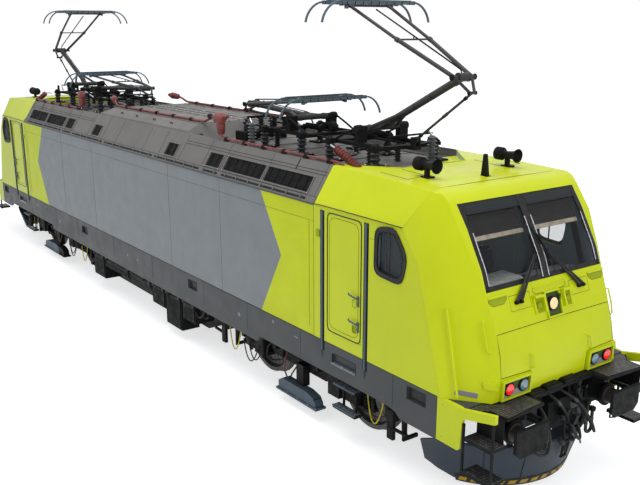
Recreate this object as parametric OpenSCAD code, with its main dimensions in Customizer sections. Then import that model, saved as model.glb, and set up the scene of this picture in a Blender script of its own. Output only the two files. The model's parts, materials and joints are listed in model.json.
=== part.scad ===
// Four-axle electric freight locomotive with a driving cab at each end and four pantographs.
// +X runs forward along the locomotive, +Y to its left and +Z up. The tips of the wheel flanges
// stand on z = 0. Every height below is counted from the rail head, which is flange_h above that.
// The second half is the first one turned or mirrored about the middle.

/* [Overall] */
// Length over the buffer faces
buffer_length = 18900; // [15700:50:22700]
// Width over the side walls
body_w = 2978; // [2480:2:3580]
// Height of the cantrail, where the side wall turns into the roof slope
cantrail_z = 3280; // [3000:10:3940]
// Height of the highest part of the cab roof
roof_z = 3770; // [3700:10:4500]
// Thickness of the walls, roofs and doors
wall_t = 60; // [40:5:80]

/* [Cabs] */
// Length of a cab from its bulkhead to the foremost point of its nose
cab_l = 2980; // [2900:10:3600]
// Height of the floor, which is the top of the underframe
floor_z = 1424; // [1350:2:1500]
// Height of the lower edge of the windscreen opening
screen_sill_z = 2650; // [2500:10:2800]
// Height of the upper edge of the windscreen opening
screen_top_z = 3585; // [3400:5:3600]
// Half the width of the windscreen opening
screen_half_w = 1035; // [700:5:1080]
// Thickness of the window glass
glass_t = 20; // [10:2:30]

/* [Doors] */
// Distance from the bulkhead to the hinge edge of a door opening
door_x = 303; // [260:1:380]
// Width of a door opening
door_w = 712; // [600:2:860]
// Height of a door's sill
door_sill_z = 1600; // [1500:10:1700]
// Height of a door's head
door_head_z = 3226; // [2900:2:3250]
// Gap between a door's free edge and its frame
door_gap = 12; // [11:1:18]
// How far a door opens inwards
door_open = 85; // [60:1:88]

/* [Running gear] */
// Distance between the two bogie pivots
pivot_spacing = 10400; // [8700:50:11500]
// Distance between the two axles of a bogie
wheelbase = 2600; // [2200:10:3120]
// Diameter of a wheel at its tread
wheel_d = 1250; // [1040:2:1300]
// Height of the wheel flange beyond the tread
flange_h = 30; // [26:1:36]
// Distance between the backs of a wheelset's two wheels
back_to_back = 1360; // [1300:2:1440]
// Radius of the axle journals
journal_r = 80; // [60:1:96]
// How far a bogie turns each way
bogie_turn = 4; // [1:0.5:4]

/* [Pantographs] */
// Height of the arms' main pivot
pan_foot_z = 4150; // [4130:10:4250]
// Distance from a bulkhead to the main pivot of the outer pantograph
pan_outer_x = 400; // [300:10:500]
// Distance between the outer and the inner pantograph's main pivots
pan_pitch = 1720; // [1600:10:1900]
// Length of a lower arm
pan_lower_l = 1745; // [1455:5:1800]
// Length of an upper arm
pan_upper_l = 2090; // [1750:5:2150]
// Angle by which a raised lower arm stands above its lowered place
pan_raised = 23.4; // [0:0.1:37]
// Half the span between the tips of a head's horns
pan_half_w = 964; // [800:4:1000]

/* [Buffers and couplers] */
// Height of the buffers and the draw hook
buffer_z = 1050; // [980:5:1080]
// Half the distance between the two buffers of an end
buffer_y = 875; // [850:5:900]
// Length of a buffer from its seat to its face
buffer_l = 620; // [560:10:700]

/* [Hidden] */
$fn = 32;

ends = [1, -1];             // front and rear, or left and right
fit = 0.05;                 // radial running clearance of a journal or a pin in its bearing
clear = 5;                  // gap between pieces that move past each other
seat = 0.3;                 // gap at which a piece rests on its seat

// Body outline. half_l is to the buffer face; the nose stands nose_back behind it.
half_l = buffer_length / 2;
half_w = body_w / 2;
nose_back = 380;
nose_x = half_l - nose_back;
bulkhead_x = nose_x - cab_l;
sill_z = 873;               // lower edge of the sole bar
sole_t = 50;                // thickness of the sole bar's plate
floor_t = 124;              // depth of the floor
crown_y = half_w - 319;     // where the roof slope ends at the cab's crown
deck_z = roof_z - 120;      // sunken deck under the pantographs
rim_y = half_w - 369;       // inner edge of the roof's side rims
hood_z = roof_z + 130;      // top of the raised hood over the machine room
big = 30000;

// A cylinder from p to q
module bar(p, q, d) {
    v = q - p;
    translate(p)
        rotate([0, acos(v.z / norm(v)), atan2(v.y, v.x)])
            cylinder(h = norm(v), d = d);
}

// A box between two corners
module block(low, high) {
    translate(low)
        cube(high - low);
}

// Repeats a piece on both sides of the lengthways plane
module both_sides() {
    children();
    mirror([0, 1, 0])
        children();
}

// Repeats an outline on both sides of the line y = 0
module mirrored_outline() {
    children();
    mirror([0, 1])
        children();
}

// Repeats a piece at both ends
module both_ends() {
    children();
    mirror([1, 0, 0])
        children();
}

// An outline in x and z made solid from y0 to y1
module side_plate(points, y0, y1) {
    translate([0, y1, 0])
        rotate([90, 0, 0])
            linear_extrude(y1 - y0)
                polygon(points);
}

// An outline in y and z made solid from x0 to x1
module cross_plate(points, x0, x1) {
    translate([x0, 0, 0])
        rotate([90, 0, 90])
            linear_extrude(x1 - x0)
                polygon(points);
}

// Everything beyond the plane through p with outward normal n
module beyond(p, n) {
    u = n / norm(n);
    translate(p)
        rotate([0, acos(u.z), atan2(u.y, u.x)])
            translate([-big / 2, -big / 2, 0])
                cube(big);
}

// ---- Body shell ----

// Nose profile in x and z, seen from the side: foot, brow of the lamps, sill of the windscreen,
// three points of the windscreen's gentle curve, and the brow above it
screen_sill_x = nose_x - 285;
screen_top_x = nose_x - 825;
function nose_profile(t) = [
    [bulkhead_x - 10, floor_z - 71 - t],
    [nose_x - 25 - t, floor_z - 71 - t],
    [nose_x - t, floor_z + 276],
    [nose_x - 40 - t, floor_z + 536],
    [nose_x - 155 - t, floor_z + 906],
    [screen_sill_x - t, screen_sill_z - 10],
    [screen_sill_x - 95 - t, screen_sill_z + 240],
    [screen_top_x + 190 - t, screen_top_z - 250],
    [screen_top_x - t, screen_top_z + 15 - t / 2],
    [screen_top_x - 95 - t, roof_z - 80 - t],
    [screen_top_x - 245 - t, roof_z - 50 - t],
    [nose_x - 1670, roof_z - 25 - t],
    [bulkhead_x - 10, roof_z - t]];

// Cross-section of the cab in y and z, inset by t
function cab_section(t) = [
    [-half_w + t, 0], [half_w - t, 0], [half_w - t, cantrail_z - 0.3 * t],
    [crown_y - 0.7 * t, roof_z - 10 - t], [crown_y - 130, roof_z + 20 - t],
    [-crown_y + 130, roof_z + 20 - t], [-crown_y + 0.7 * t, roof_z - 10 - t],
    [-half_w + t, cantrail_z - 0.3 * t]];

// The corner facets of the nose: a lower one beside the front, an upper one below the brow
corner_foot_x = nose_x - 485;
corner_rake = 0.305;
lower_facet = [0.601, 0.778, 0.183];
upper_facet = [0.462, 0.815, 0.350];
upper_facet_z = 2938;
corner_x = corner_foot_x - corner_rake * (upper_facet_z - 1450);

// The cab's volume, with every wall moved inwards by t
module cab_volume(t) {
    difference() {
        intersection() {
            side_plate(nose_profile(t), -half_w, half_w);
            cross_plate(cab_section(t), bulkhead_x, nose_x + 10);
        }
        both_sides() {
            beyond([corner_foot_x, half_w, 1450] - t * lower_facet, lower_facet);
            beyond([corner_x, half_w, upper_facet_z] - t * upper_facet, upper_facet);
        }
    }
}

module cab_shell() {
    difference() {
        cab_volume(0);
        cab_volume(wall_t);
        block([bulkhead_x - 20, -half_w - 1, 0], [nose_x + 20, half_w + 1, floor_z]);
    }
}

// Outline in x and z of the part of the shell that is the nose
seam = 25;                  // how far the nose's panel reaches back past its corner
cantrail_corner_x = corner_x - 272;
function nose_region() = [
    [corner_foot_x - seam + 8, floor_z], [corner_x - seam, upper_facet_z],
    [cantrail_corner_x - seam, cantrail_z], [screen_top_x - 130, roof_z + 200],
    [nose_x + 50, roof_z + 200], [nose_x + 50, floor_z]];

module screen_opening(gap) {
    block([screen_top_x - 400, -screen_half_w + gap, screen_sill_z + gap],
          [nose_x + 50, screen_half_w - gap, screen_top_z - gap]);
}

module cab_noses() {
    color("yellowgreen")
        both_ends()
            difference() {
                intersection() {
                    cab_shell();
                    side_plate(nose_region(), -half_w - 1, half_w + 1);
                }
                screen_opening(0);
            }
}

module windscreens() {
    color("darkslategray", 0.4)
        both_ends()
            intersection() {
                difference() {
                    cab_volume(wall_t / 2 - glass_t / 2);
                    cab_volume(wall_t / 2 + glass_t / 2);
                }
                screen_opening(seat);
            }
}

// Side window: outline in x and z, worked from the cab's seams, and its frame's width
window_z = [2616, 3246];
function side_window(gap) = [
    [nose_x - 1689 + gap, window_z[0] + 35 + gap], [nose_x - 1218 - gap, window_z[0] + gap],
    [nose_x - 1144 - gap, window_z[0] + 335], [nose_x - 1350 - gap / 2, window_z[1] - gap],
    [nose_x - 1677 + gap, window_z[1] - 52 - gap]];

// Door opening in x and z
door_x0 = bulkhead_x + door_x;
door_x1 = door_x0 + door_w;

// Channels for the tall handrails on both sides of a door
rail_ch_w = 90;
rail_ch_x = [door_x0 - 113, door_x1 + 93];
rail_ch_z = [1283, 3232];
rail_ch_d = 40;
module rail_channels() {
    for (x = rail_ch_x)
        block([x - rail_ch_w / 2, half_w - rail_ch_d, rail_ch_z[0]],
              [x + rail_ch_w / 2, half_w + 1, rail_ch_z[1]]);
}

module cab_sides() {
    color("yellowgreen")
        both_ends()
            both_sides()
                difference() {
                    block([bulkhead_x, half_w - wall_t, floor_z],
                          [nose_x, half_w, cantrail_z - seat]);
                    side_plate([for (p = nose_region()) p - [seat, 0]], 0, half_w + 1);
                    side_plate(side_window(0), 0, half_w + 1);
                    block([door_x0, 0, door_sill_z], [door_x1, half_w + 1, door_head_z]);
                    rail_channels();
                }
    // Lower half of each door hinge
    color("yellowgreen")
        both_ends()
            both_sides()
                for (z = hinge_z) {
                    translate([hinge_x, hinge_y, z - hinge_h])
                        cylinder(h = hinge_h - seat, r = hinge_r);
                    block([door_x0 - 40, hinge_y - 5, z - hinge_h],
                          [hinge_x, half_w - wall_t - seat, z - seat]);
                    block([door_x0 - 40, hinge_y, z - hinge_h],
                          [door_x0 - 5, half_w - wall_t + 1, z - seat]);
                }
}

module side_windows() {
    color("darkslategray", 0.4)
        both_ends()
            both_sides()
                side_plate(side_window(seat), half_w - wall_t / 2 - glass_t / 2,
                           half_w - wall_t / 2 + glass_t / 2);
}

// The sunken deck runs on into the cab roof as a tapering tray
tray_l = 710;
tray_end_y = 580;
cab_roof_t = 140;
module cab_roofs() {
    color("yellowgreen")
        both_ends()
            difference() {
                intersection() {
                    difference() {
                        cab_volume(0);
                        cab_volume(cab_roof_t);
                        block([bulkhead_x - 20, -half_w - 1, 0],
                              [nose_x + 20, half_w + 1, cantrail_z]);
                    }
                    block([bulkhead_x, -half_w, 0], [nose_x, half_w, roof_z + 100]);
                }
                side_plate([for (p = nose_region()) p - [seat, 0]], -half_w, half_w);
                translate([0, 0, deck_z + 40])
                    linear_extrude(300)
                        polygon([[bulkhead_x - 1, -rim_y], [bulkhead_x + tray_l, -tray_end_y],
                                 [bulkhead_x + tray_l, tray_end_y], [bulkhead_x - 1, rim_y]]);
            }
}

// Half of a bulkhead's outline in y and z: it stands just inside the walls and the roof
function bulkhead_half(s) = [
    [s * (half_w - wall_t - seat), floor_z + seat], [s * (half_w - wall_t - seat), cantrail_z - seat],
    [s * (half_w - cab_roof_t - 35), cantrail_z - seat],
    [s * (crown_y - 0.7 * cab_roof_t - 12), roof_z - cab_roof_t - 20],
    [s * (crown_y - 0.7 * cab_roof_t - 100), roof_z - cab_roof_t - 20]];
module cab_bulkheads() {
    color("steelblue")
        both_ends()
            cross_plate(concat(bulkhead_half(1), [for (k = [4:-1:0]) bulkhead_half(-1)[k]]),
                        bulkhead_x + 110, bulkhead_x + 150);
}

// ---- Machine room ----

side_x = bulkhead_x - seat; // ends of the machine room's walls and roof
module side_wall(s) {
    color("dimgray")
        mirror([0, s < 0 ? 1 : 0, 0])
            block([-side_x, half_w - wall_t, floor_z], [side_x, half_w, cantrail_z - seat]);
}
module side_wall_left() { side_wall(1); }
module side_wall_right() { side_wall(-1); }

// The hood fills what the inner pantographs leave free
pan_x = [bulkhead_x - pan_outer_x, bulkhead_x - pan_outer_x - pan_pitch];
hood_half_l = pan_x[1] - pan_lower_l - 150;
roof_t = 80;
function roof_ring() = [
    [half_w, cantrail_z], [crown_y, roof_z], [rim_y, roof_z], [rim_y, deck_z],
    [-rim_y, deck_z], [-rim_y, roof_z], [-crown_y, roof_z], [-half_w, cantrail_z]];
function roof_inner() = [
    [half_w - roof_t, cantrail_z - 1], [rim_y - roof_t, deck_z - roof_t],
    [-rim_y + roof_t, deck_z - roof_t], [-half_w + roof_t, cantrail_z - 1]];
function hood_section() = [
    [crown_y, roof_z - 20], [crown_y - 15, roof_z + 40], [crown_y - 270, hood_z],
    [-crown_y + 270, hood_z], [-crown_y + 15, roof_z + 40], [-crown_y, roof_z - 20]];

// Grilles on the roof slope: distance of each one's centre from the middle, and its length
grille_table = [[5280, 1120], [4110, 1100], [3215, 430], [1690, 380]];
slope_v = [crown_y - half_w, roof_z - cantrail_z];
slope_a = atan2(slope_v.y, -slope_v.x);
grille_h = 230;
grille_up = 130;            // from the cantrail to a grille's lower edge, along the slope
grille_d = 40;

// Places its children on the roof slope, with x along the body, y up the slope and z outwards
module on_slope(s) {
    mirror([0, s < 0 ? 1 : 0, 0])
        translate([0, half_w, cantrail_z])
            rotate([180 - slope_a, 0, 0])
                mirror([0, 0, 1])
                    children();
}

module grille_pockets(gap, depth, out) {
    k = (bulkhead_x - 200) / 5890;
    for (e = ends, s = ends, g = grille_table)
        on_slope(s)
            translate([e * g[0] * k - g[1] / 2 + gap, grille_up + gap, -depth])
                cube([g[1] - 2 * gap, grille_h - 2 * gap, depth + out]);
}

module machine_roof() {
    color("gray")
        difference() {
            union() {
                difference() {
                    cross_plate(roof_ring(), -side_x, side_x);
                    cross_plate(roof_inner(), -side_x + roof_t, side_x - roof_t);
                }
                side_plate([[-hood_half_l, deck_z - 1], [-hood_half_l + 220, hood_z],
                            [hood_half_l - 220, hood_z], [hood_half_l, deck_z - 1]],
                           -crown_y + 270, crown_y - 270);
                intersection() {
                    cross_plate(hood_section(), -hood_half_l, hood_half_l);
                    side_plate([[-hood_half_l, deck_z - 1], [-hood_half_l + 220, hood_z],
                                [hood_half_l - 220, hood_z], [hood_half_l, deck_z - 1]],
                               -half_w, half_w);
                }
            }
            grille_pockets(0, grille_d, 20);
        }
}

module roof_grilles() {
    color("black")
        grille_pockets(8, grille_d - seat, -10);
}

// ---- Underframe and ends ----

end_plate_x = nose_x - 115; // outer face of the headstock
platform_y = 950;
sole_end_x = corner_foot_x - 55;
step_z = [1144, 1302];      // door step recessed in the sole bar
arch_z = 970;               // lower edge of the sole bar over a bogie
arch_x = [pivot_spacing / 2 - 550, pivot_spacing / 2 + 2450];
pocket_d = 40;              // depth of the jacking pockets in the sole bar
pockets = [[2350, 2650, 1170, 1330], [nose_x - 1060, nose_x - 730, 1200, 1370]];
module underframe() {
    color("dimgray")
        difference() {
            union() {
                block([-end_plate_x, -half_w + sole_t, floor_z - floor_t],
                      [end_plate_x, half_w - sole_t, floor_z - seat]);
                both_sides()
                    block([-sole_end_x, half_w - sole_t, sill_z], [sole_end_x, half_w, floor_z - seat]);
                both_ends()
                    block([end_plate_x - 60, -1200, sill_z], [end_plate_x, 1200, floor_z - floor_t]);
            }
            both_ends()
                both_sides() {
                    block([door_x0 + 107, half_w - sole_t + 10, step_z[0]],
                          [door_x0 + 617, half_w + 1, step_z[1]]);
                    rail_channels();
                    side_plate([[arch_x[0] - 60, sill_z - 1], [arch_x[0], arch_z], [arch_x[1], arch_z],
                                [arch_x[1] + 150, arch_z - 30], [arch_x[1] + 250, sill_z - 1]],
                               half_w - sole_t - 1, half_w + 1);
                    for (p = pockets)
                        block([p[0], half_w - pocket_d, p[2]], [p[1], half_w + 1, p[3]]);
                }
            both_ends()
                cross_plate([[-platform_y, floor_z], [-platform_y, floor_z - 60],
                             [platform_y, floor_z - 60], [platform_y, floor_z]],
                            end_plate_x - 90, end_plate_x + 1);
        }
}

// Yellow corner panels below the nose, each with the arm that carries the corner ladder
arm_x = half_l - 30;        // outer end of the arm
module corner_skirts() {
    x0 = sole_end_x + seat;
    color("yellowgreen")
        both_ends()
            both_sides()
                side_plate([[x0, sill_z + 10], [x0 + 340, sill_z + 4], [x0 + 368, sill_z + 24],
                            [x0 + 385, sill_z + 70], [x0 + 400, sill_z + 367],
                            [x0 + 420, sill_z + 412], [x0 + 465, sill_z + 437],
                            [arm_x, sill_z + 537], [arm_x, sill_z + 647], [x0 + 385, floor_z - 10],
                            [x0 + 370, floor_z - seat], [x0, floor_z - seat]],
                           half_w - sole_t, half_w);
}

module buffers() {
    color("black")
        both_ends()
            both_sides()
                translate([half_l, buffer_y, buffer_z])
                    rotate([0, -90, 0]) {
                        // Face plate with cut corners
                        linear_extrude(35)
                            polygon([[170, 265], [160, 275], [-90, 275], [-170, 195], [-170, -195],
                                     [-90, -275], [160, -275], [170, -265]]);
                        translate([0, 0, 34])
                            cylinder(h = 260, d = 190);
                        translate([0, 0, 290])
                            cylinder(h = 20, d = 300);
                        translate([0, 0, 309])
                            cylinder(h = half_l - end_plate_x - 309 - seat, d = 240);
                    }
}

hook_x = half_l - 160;
module couplers() {
    color("black")
        both_ends() {
            // Draw-gear box, hook and the screw coupling that hangs from it
            block([end_plate_x + seat, -210, buffer_z - 150], [half_l - 330, 210, buffer_z + 150]);
            side_plate([[half_l - 331, buffer_z - 40], [hook_x - 40, buffer_z - 50],
                        [hook_x + 70, buffer_z - 95], [hook_x + 110, buffer_z + 40],
                        [hook_x + 60, buffer_z + 60], [hook_x + 40, buffer_z - 30],
                        [hook_x - 20, buffer_z - 20], [hook_x - 20, buffer_z + 70],
                        [half_l - 331, buffer_z + 50]], -30, 30);
            for (s = ends)
                bar([hook_x - 50, s * 55, buffer_z - 25], [hook_x - 20, s * 60, buffer_z - 340], 34);
            bar([hook_x - 50, -75, buffer_z - 25], [hook_x - 50, 75, buffer_z - 25], 44);
            bar([hook_x - 20, -85, buffer_z - 340], [hook_x - 20, 85, buffer_z - 340], 50);
            for (s = ends)
                bar([hook_x - 20, s * 55, buffer_z - 340], [hook_x - 60, s * 35, buffer_z - 560], 30);
            bar([hook_x - 60, -50, buffer_z - 560], [hook_x - 60, 50, buffer_z - 560], 34);
        }
}

// A hose that leaves the headstock, loops down in front and is hung back up beside it
hose_x = nose_x + 185;
hose_w = 110;
hose_drop = 300;
module hose(y) {
    for (k = [0, 1])
        bar([end_plate_x + seat, y + k * hose_w, buffer_z + 60 - k * 120],
            [hose_x, y + k * hose_w, buffer_z + 60 - k * 120], 56);
    for (k = [0, 1])
        bar([hose_x, y + k * hose_w, buffer_z + 80 - k * 120],
            [hose_x, y + k * hose_w, buffer_z - hose_drop], 42);
    translate([hose_x, y + hose_w / 2, buffer_z - hose_drop])
        rotate([90, 0, 90])
            rotate([0, 0, 180])
                rotate_extrude(angle = 180)
                    translate([hose_w / 2, 0])
                        circle(d = 42);
}
module brake_hoses() {
    color("black")
        both_ends()
            for (y = [-480, 370])
                hose(y);
}

// Chequer-plate platform, corner ladders, door steps and their brackets
ladder_x = [nose_x - 138, arm_x - 50];
ladder_top = [sill_z + 366, sill_z + 525];
ladder_foot = sill_z - 270;
door_step_z = [810, 440];
door_step_x = [door_x0 + 97, door_x0 + 7];
door_step_l = [460, 490];
hanger_x = [door_x0 + 130, door_x0 + 400];
hanger_y = half_w - 200;
module steps() {
    color("black") {
        both_ends() {
            translate([0, 0, floor_z - 55])
                linear_extrude(35)
                    mirrored_outline()
                        polygon([[end_plate_x + seat, 0], [nose_x + 90, 0], [nose_x + 90, 550],
                                 [nose_x + 280, 590], [arm_x - 30, 1255], [nose_x + 90, 1265],
                                 [nose_x - 50, half_w - sole_t - 30],
                                 [end_plate_x + seat, half_w - sole_t - 30]]);
            both_sides() {
                for (k = [0, 1])
                    block([ladder_x[k], half_w - 40, ladder_foot],
                          [ladder_x[k] + 25, half_w - 12, ladder_top[k] - seat]);
                for (z = [ladder_foot + 10, ladder_foot + 430])
                    block([ladder_x[0] + 24, half_w - 260, z], [ladder_x[1] + 1, half_w - 13, z + 40]);
            }
        }
        both_ends()
            both_sides() {
                for (k = [0, 1])
                    block([door_step_x[k], hanger_y - 10, door_step_z[k]],
                          [door_step_x[k] + door_step_l[k], half_w - 40 - k * 50, door_step_z[k] + 45]);
                for (x = hanger_x) {
                    block([x, hanger_y, door_step_z[1]], [x + 25, hanger_y + 30, sill_z + 160]);
                    block([x, hanger_y, sill_z + 110],
                          [x + 25, half_w - sole_t - seat, sill_z + 160]);
                }
            }
    }
}

// A point standing off the nose's lower corner facet by d
function on_facet(x, z, d) =
    [x, half_w - (lower_facet.x * (x - corner_foot_x) + lower_facet.z * (z - 1450)) / lower_facet.y, z]
    + d * lower_facet;
corner_rail = [[nose_x - 330, floor_z + 40], [nose_x - 590, floor_z + 1030]];
module handrails() {
    color("slategray")
        both_ends()
            both_sides() {
                for (x = rail_ch_x) {
                    bar([x, half_w + 8, rail_ch_z[0] + 10], [x, half_w + 8, rail_ch_z[1] - 10], 32);
                    for (z = [rail_ch_z[0] + 30, 2250, rail_ch_z[1] - 30])
                        bar([x, half_w - rail_ch_d + seat, z], [x, half_w + 8, z], 24);
                }
                // Handrail up the nose's corner
                a = corner_rail[0];
                b = corner_rail[1];
                bar(on_facet(a.x, a.y, 60), on_facet(b.x, b.y, 60), 30);
                for (k = [0.02, 0.5, 0.98]) {
                    p = a + k * (b - a);
                    bar(on_facet(p.x, p.y, 1), on_facet(p.x, p.y, 60), 20);
                }
            }
}

// Lamp clusters beside the hatch and the headlamp below the windscreen
lamp_z = floor_z + 136;
lamp_d = 150;
lamp_h = 112;               // half the height of a cluster's back plate
lamp_x = nose_x - (floor_z + 276 - lamp_z - lamp_h) * 25 / 347; // where the nose meets its top
module lamps() {
    color("lightgray")
        both_ends() {
            both_sides() {
                for (y = [660, 900])
                    translate([nose_x + 5, y, lamp_z])
                        rotate([0, 90, 0]) {
                            cylinder(h = 22, d = lamp_d);
                            translate([0, 0, 21])
                                cylinder(h = 10, d1 = lamp_d - 20, d2 = lamp_d - 50);
                        }
                block([lamp_x + seat, 545, lamp_z - lamp_h], [nose_x + 6, 1012, lamp_z + lamp_h]);
            }
        }
}

// Obstacle deflector under the headstock: a curved plate that leans out towards its top, with
// its ends swept back and up
guard_z = [100, 700];
guard_r = [1070, 1250];     // outer radius at its foot and at its top
guard_x = nose_x - 1110;    // centre of its curve
guard_t = 40;
module guard_cone(t, over) {
    lean = (guard_r[1] - guard_r[0]) / (guard_z[1] - guard_z[0]);
    translate([guard_x, 0, guard_z[0] - over])
        cylinder(h = guard_z[1] - guard_z[0] + 2 * over, r1 = guard_r[0] - t - lean * over,
                 r2 = guard_r[1] - t + lean * over, $fn = 32);
}
module rail_guards() {
    shelf_z = guard_z[1] - 60;
    color("slategray")
        both_ends() {
            intersection() {
                difference() {
                    guard_cone(0, 0);
                    guard_cone(guard_t, 1);
                }
                side_plate([[guard_x + 10, 260], [guard_x + 520, guard_z[0] - 1],
                            [half_l, guard_z[0] - 1], [half_l, guard_z[1] + 1],
                            [guard_x + 340, guard_z[1] + 1], [guard_x + 10, 560]], -half_w, half_w);
            }
            // Shelf behind it and the two plates that hang it from the headstock
            intersection() {
                translate([guard_x, 0, shelf_z])
                    cylinder(h = 30, r = guard_r[1] - guard_t - 8, $fn = 32);
                block([end_plate_x - 40, -700, 0], [half_l, 700, guard_z[1]]);
            }
            both_sides()
                block([end_plate_x - 40, 600, shelf_z], [end_plate_x - 5, 690, sill_z - seat]);
        }
}

// ---- Under the floor and inside ----

tank_half_l = 2500;
module transformer() {
    color("dimgray")
        side_plate([[-tank_half_l, 620], [-tank_half_l + 350, 250], [tank_half_l - 350, 250],
                    [tank_half_l, 620], [tank_half_l, floor_z - floor_t - seat],
                    [-tank_half_l, floor_z - floor_t - seat]], -1020, 1020);
}

// Boxes hung beside the transformer: from x0 to x1, and from z0 to z1
box_table = [[1180, 1800, 170, 830], [600, 1150, 420, 830], [-430, 560, 640, 830],
             [-1700, -470, 600, 830], [-2350, -1750, 300, 830], [1850, 2350, 450, 830]];
module underfloor_boxes() {
    color("black")
        both_sides()
            for (b = box_table)
                block([b[0], 1020 + seat, b[2]], [b[1], half_w - sole_t - 60, b[3] + 100]);
}

module converter_block() {
    color("gray")
        block([-bulkhead_x + 1200, -700, floor_z + seat], [bulkhead_x - 1200, 700, 2900]);
}

desk_x = nose_x - 1080;
module driver_desks() {
    color("gainsboro")
        both_ends()
            intersection() {
                side_plate([[desk_x, 2150], [desk_x + 60, 2350], [desk_x + 520, 2500],
                            [nose_x, 2560], [nose_x, floor_z + seat], [desk_x + 420, floor_z + seat],
                            [desk_x + 420, 2080]],
                           -half_w, half_w);
                cab_volume(wall_t + 15);
            }
}

seat_x = desk_x - 560;
module driver_seats() {
    color("navy")
        both_ends()
            for (y = [-620, 620]) {
                translate([seat_x, y, floor_z + seat])
                    cylinder(h = 360, d = 160);
                block([seat_x - 220, y - 240, floor_z + 360], [seat_x + 270, y + 240, floor_z + 490]);
                side_plate([[seat_x - 220, floor_z + 480], [seat_x - 330, floor_z + 1180],
                            [seat_x - 230, floor_z + 1180], [seat_x - 100, floor_z + 480]],
                           y - 230, y + 230);
            }
}

// ---- Doors ----

hinge_in = 30;              // hinge axis from the door's edge
hinge_deep = 20;            // hinge axis behind the door's inner face
hinge_x = door_x0 + 6 + hinge_in;
hinge_y = half_w - wall_t - hinge_deep;
hinge_z = [1800, 2400, 3000];
hinge_h = 90;
hinge_r = 15;
lever_out = 40;             // how far a lever handle stands off the door

// A door closed in its opening, with its cup, two lever handles and hinge knuckles
module door(e, s) {
    color("yellowgreen")
        mirror([e < 0 ? 1 : 0, 0, 0])
            mirror([0, s < 0 ? 1 : 0, 0]) {
                difference() {
                    block([door_x0 + 6, half_w - wall_t, door_sill_z + 6],
                          [door_x1 - door_gap, half_w, door_head_z - 6]);
                    block([door_x1 - 170, half_w - 12, 1730], [door_x1 - 90, half_w + 1, 1830]);
                }
                for (z = [2200, 1850]) {
                    x = door_x1 - 50;
                    block([x - 16, half_w - 1, z - 90], [x + 16, half_w + 12, z + 50]);
                    bar([x, half_w + 5, z + 25], [x, half_w + lever_out, z + 25], 20);
                    bar([x + 14, half_w + lever_out, z + 25], [x - 140, half_w + lever_out, z + 40], 24);
                }
                for (z = hinge_z) {
                    translate([hinge_x, hinge_y, z])
                        cylinder(h = hinge_h, r = hinge_r);
                    block([hinge_x - 12, hinge_y, z],
                          [hinge_x + 12, half_w - wall_t + 1, z + hinge_h]);
                }
            }
}
module door_front_left() { door(1, 1); }
module door_front_right() { door(1, -1); }
module door_rear_left() { door(-1, 1); }
module door_rear_right() { door(-1, -1); }

// ---- Bogies: drawn about the bogie's own centre, then moved to its pivot ----

half_base = wheelbase / 2;
wheel_r = wheel_d / 2;
beam_y = [960, 1120];
frame_end = half_base + 760;

module bogie_frame() {
    color("black") {
        difference() {
            union() {
                both_sides() {
                    // Side beam, cranked up over the axle boxes and down between them
                    side_plate([[-frame_end, 800], [-half_base - 350, 760], [-half_base + 380, 760],
                                [-half_base + 620, 560], [half_base - 620, 560],
                                [half_base - 380, 760], [half_base + 350, 760], [frame_end, 800],
                                [frame_end, 920], [half_base - 420, 960], [half_base - 700, 780],
                                [-half_base + 700, 780], [-half_base + 420, 960],
                                [-frame_end, 920]], beam_y[0], beam_y[1]);
                    for (e = ends) {
                        // Axle box with its two spring seats
                        block([e * half_base - 150, beam_y[0] - 30, wheel_r - 150],
                              [e * half_base + 150, beam_y[1] + 40, wheel_r + 136]);
                        block([e * half_base - 380, beam_y[0] + 10, wheel_r - 190],
                              [e * half_base + 380, beam_y[1] - 10, wheel_r - 140]);
                    }
                }
                for (e = ends)
                    bar([e * (frame_end - 60), -beam_y[1] + 20, 860],
                        [e * (frame_end - 60), beam_y[1] - 20, 860], 110);
                block([-240, -beam_y[0] - 1, 560], [240, beam_y[0] + 1, 760]);
                translate([0, 0, 380])
                    cylinder(h = 181, d = 300);
            }
            for (e = ends)
                translate([e * half_base, -1200, wheel_r])
                    rotate([-90, 0, 0])
                        cylinder(h = 2400, r = journal_r + fit, $fn = 48);
        }
    }
}

// Primary springs at the axle boxes, body springs, and the dampers beside them
spring_z = floor_z - floor_t - seat;
module bogie_suspension() {
    color("dimgray") {
        both_sides()
            for (e = ends, k = [-270, 270])
                translate([e * half_base + k, (beam_y[0] + beam_y[1]) / 2, wheel_r - 140 + seat])
                    cylinder(h = 760 - wheel_r + 140 - 2 * seat, d = 150);
        both_sides()
            for (x = [-230, 230])
                translate([x, (beam_y[0] + beam_y[1]) / 2 - 10, 780 + seat])
                    cylinder(h = spring_z - 780 - 2 * seat, d = 270);
    }
}

// Motors hung on the middle beam, each with its gear case and its bearing tube round the axle
motor_x = half_base - 480;
module motor() {
    difference() {
        union() {
            translate([motor_x, -430, wheel_r + 60])
                rotate([-90, 0, 0])
                    cylinder(h = 911, d = 700);
            translate([half_base, 480, wheel_r])
                rotate([-90, 0, 0])
                    cylinder(h = 130, d = 640);
            translate([half_base, -420, wheel_r])
                rotate([-90, 0, 0])
                    cylinder(h = 901, d = 330);
            block([240 + seat, -200, 600], [motor_x, 200, 720]);
        }
        translate([half_base, -600, wheel_r])
            rotate([-90, 0, 0])
                cylinder(h = 1300, r = axle_r + seat);
    }
}
module traction_motors() {
    color("dimgray")
        both_ends()
            motor();
}

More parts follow.
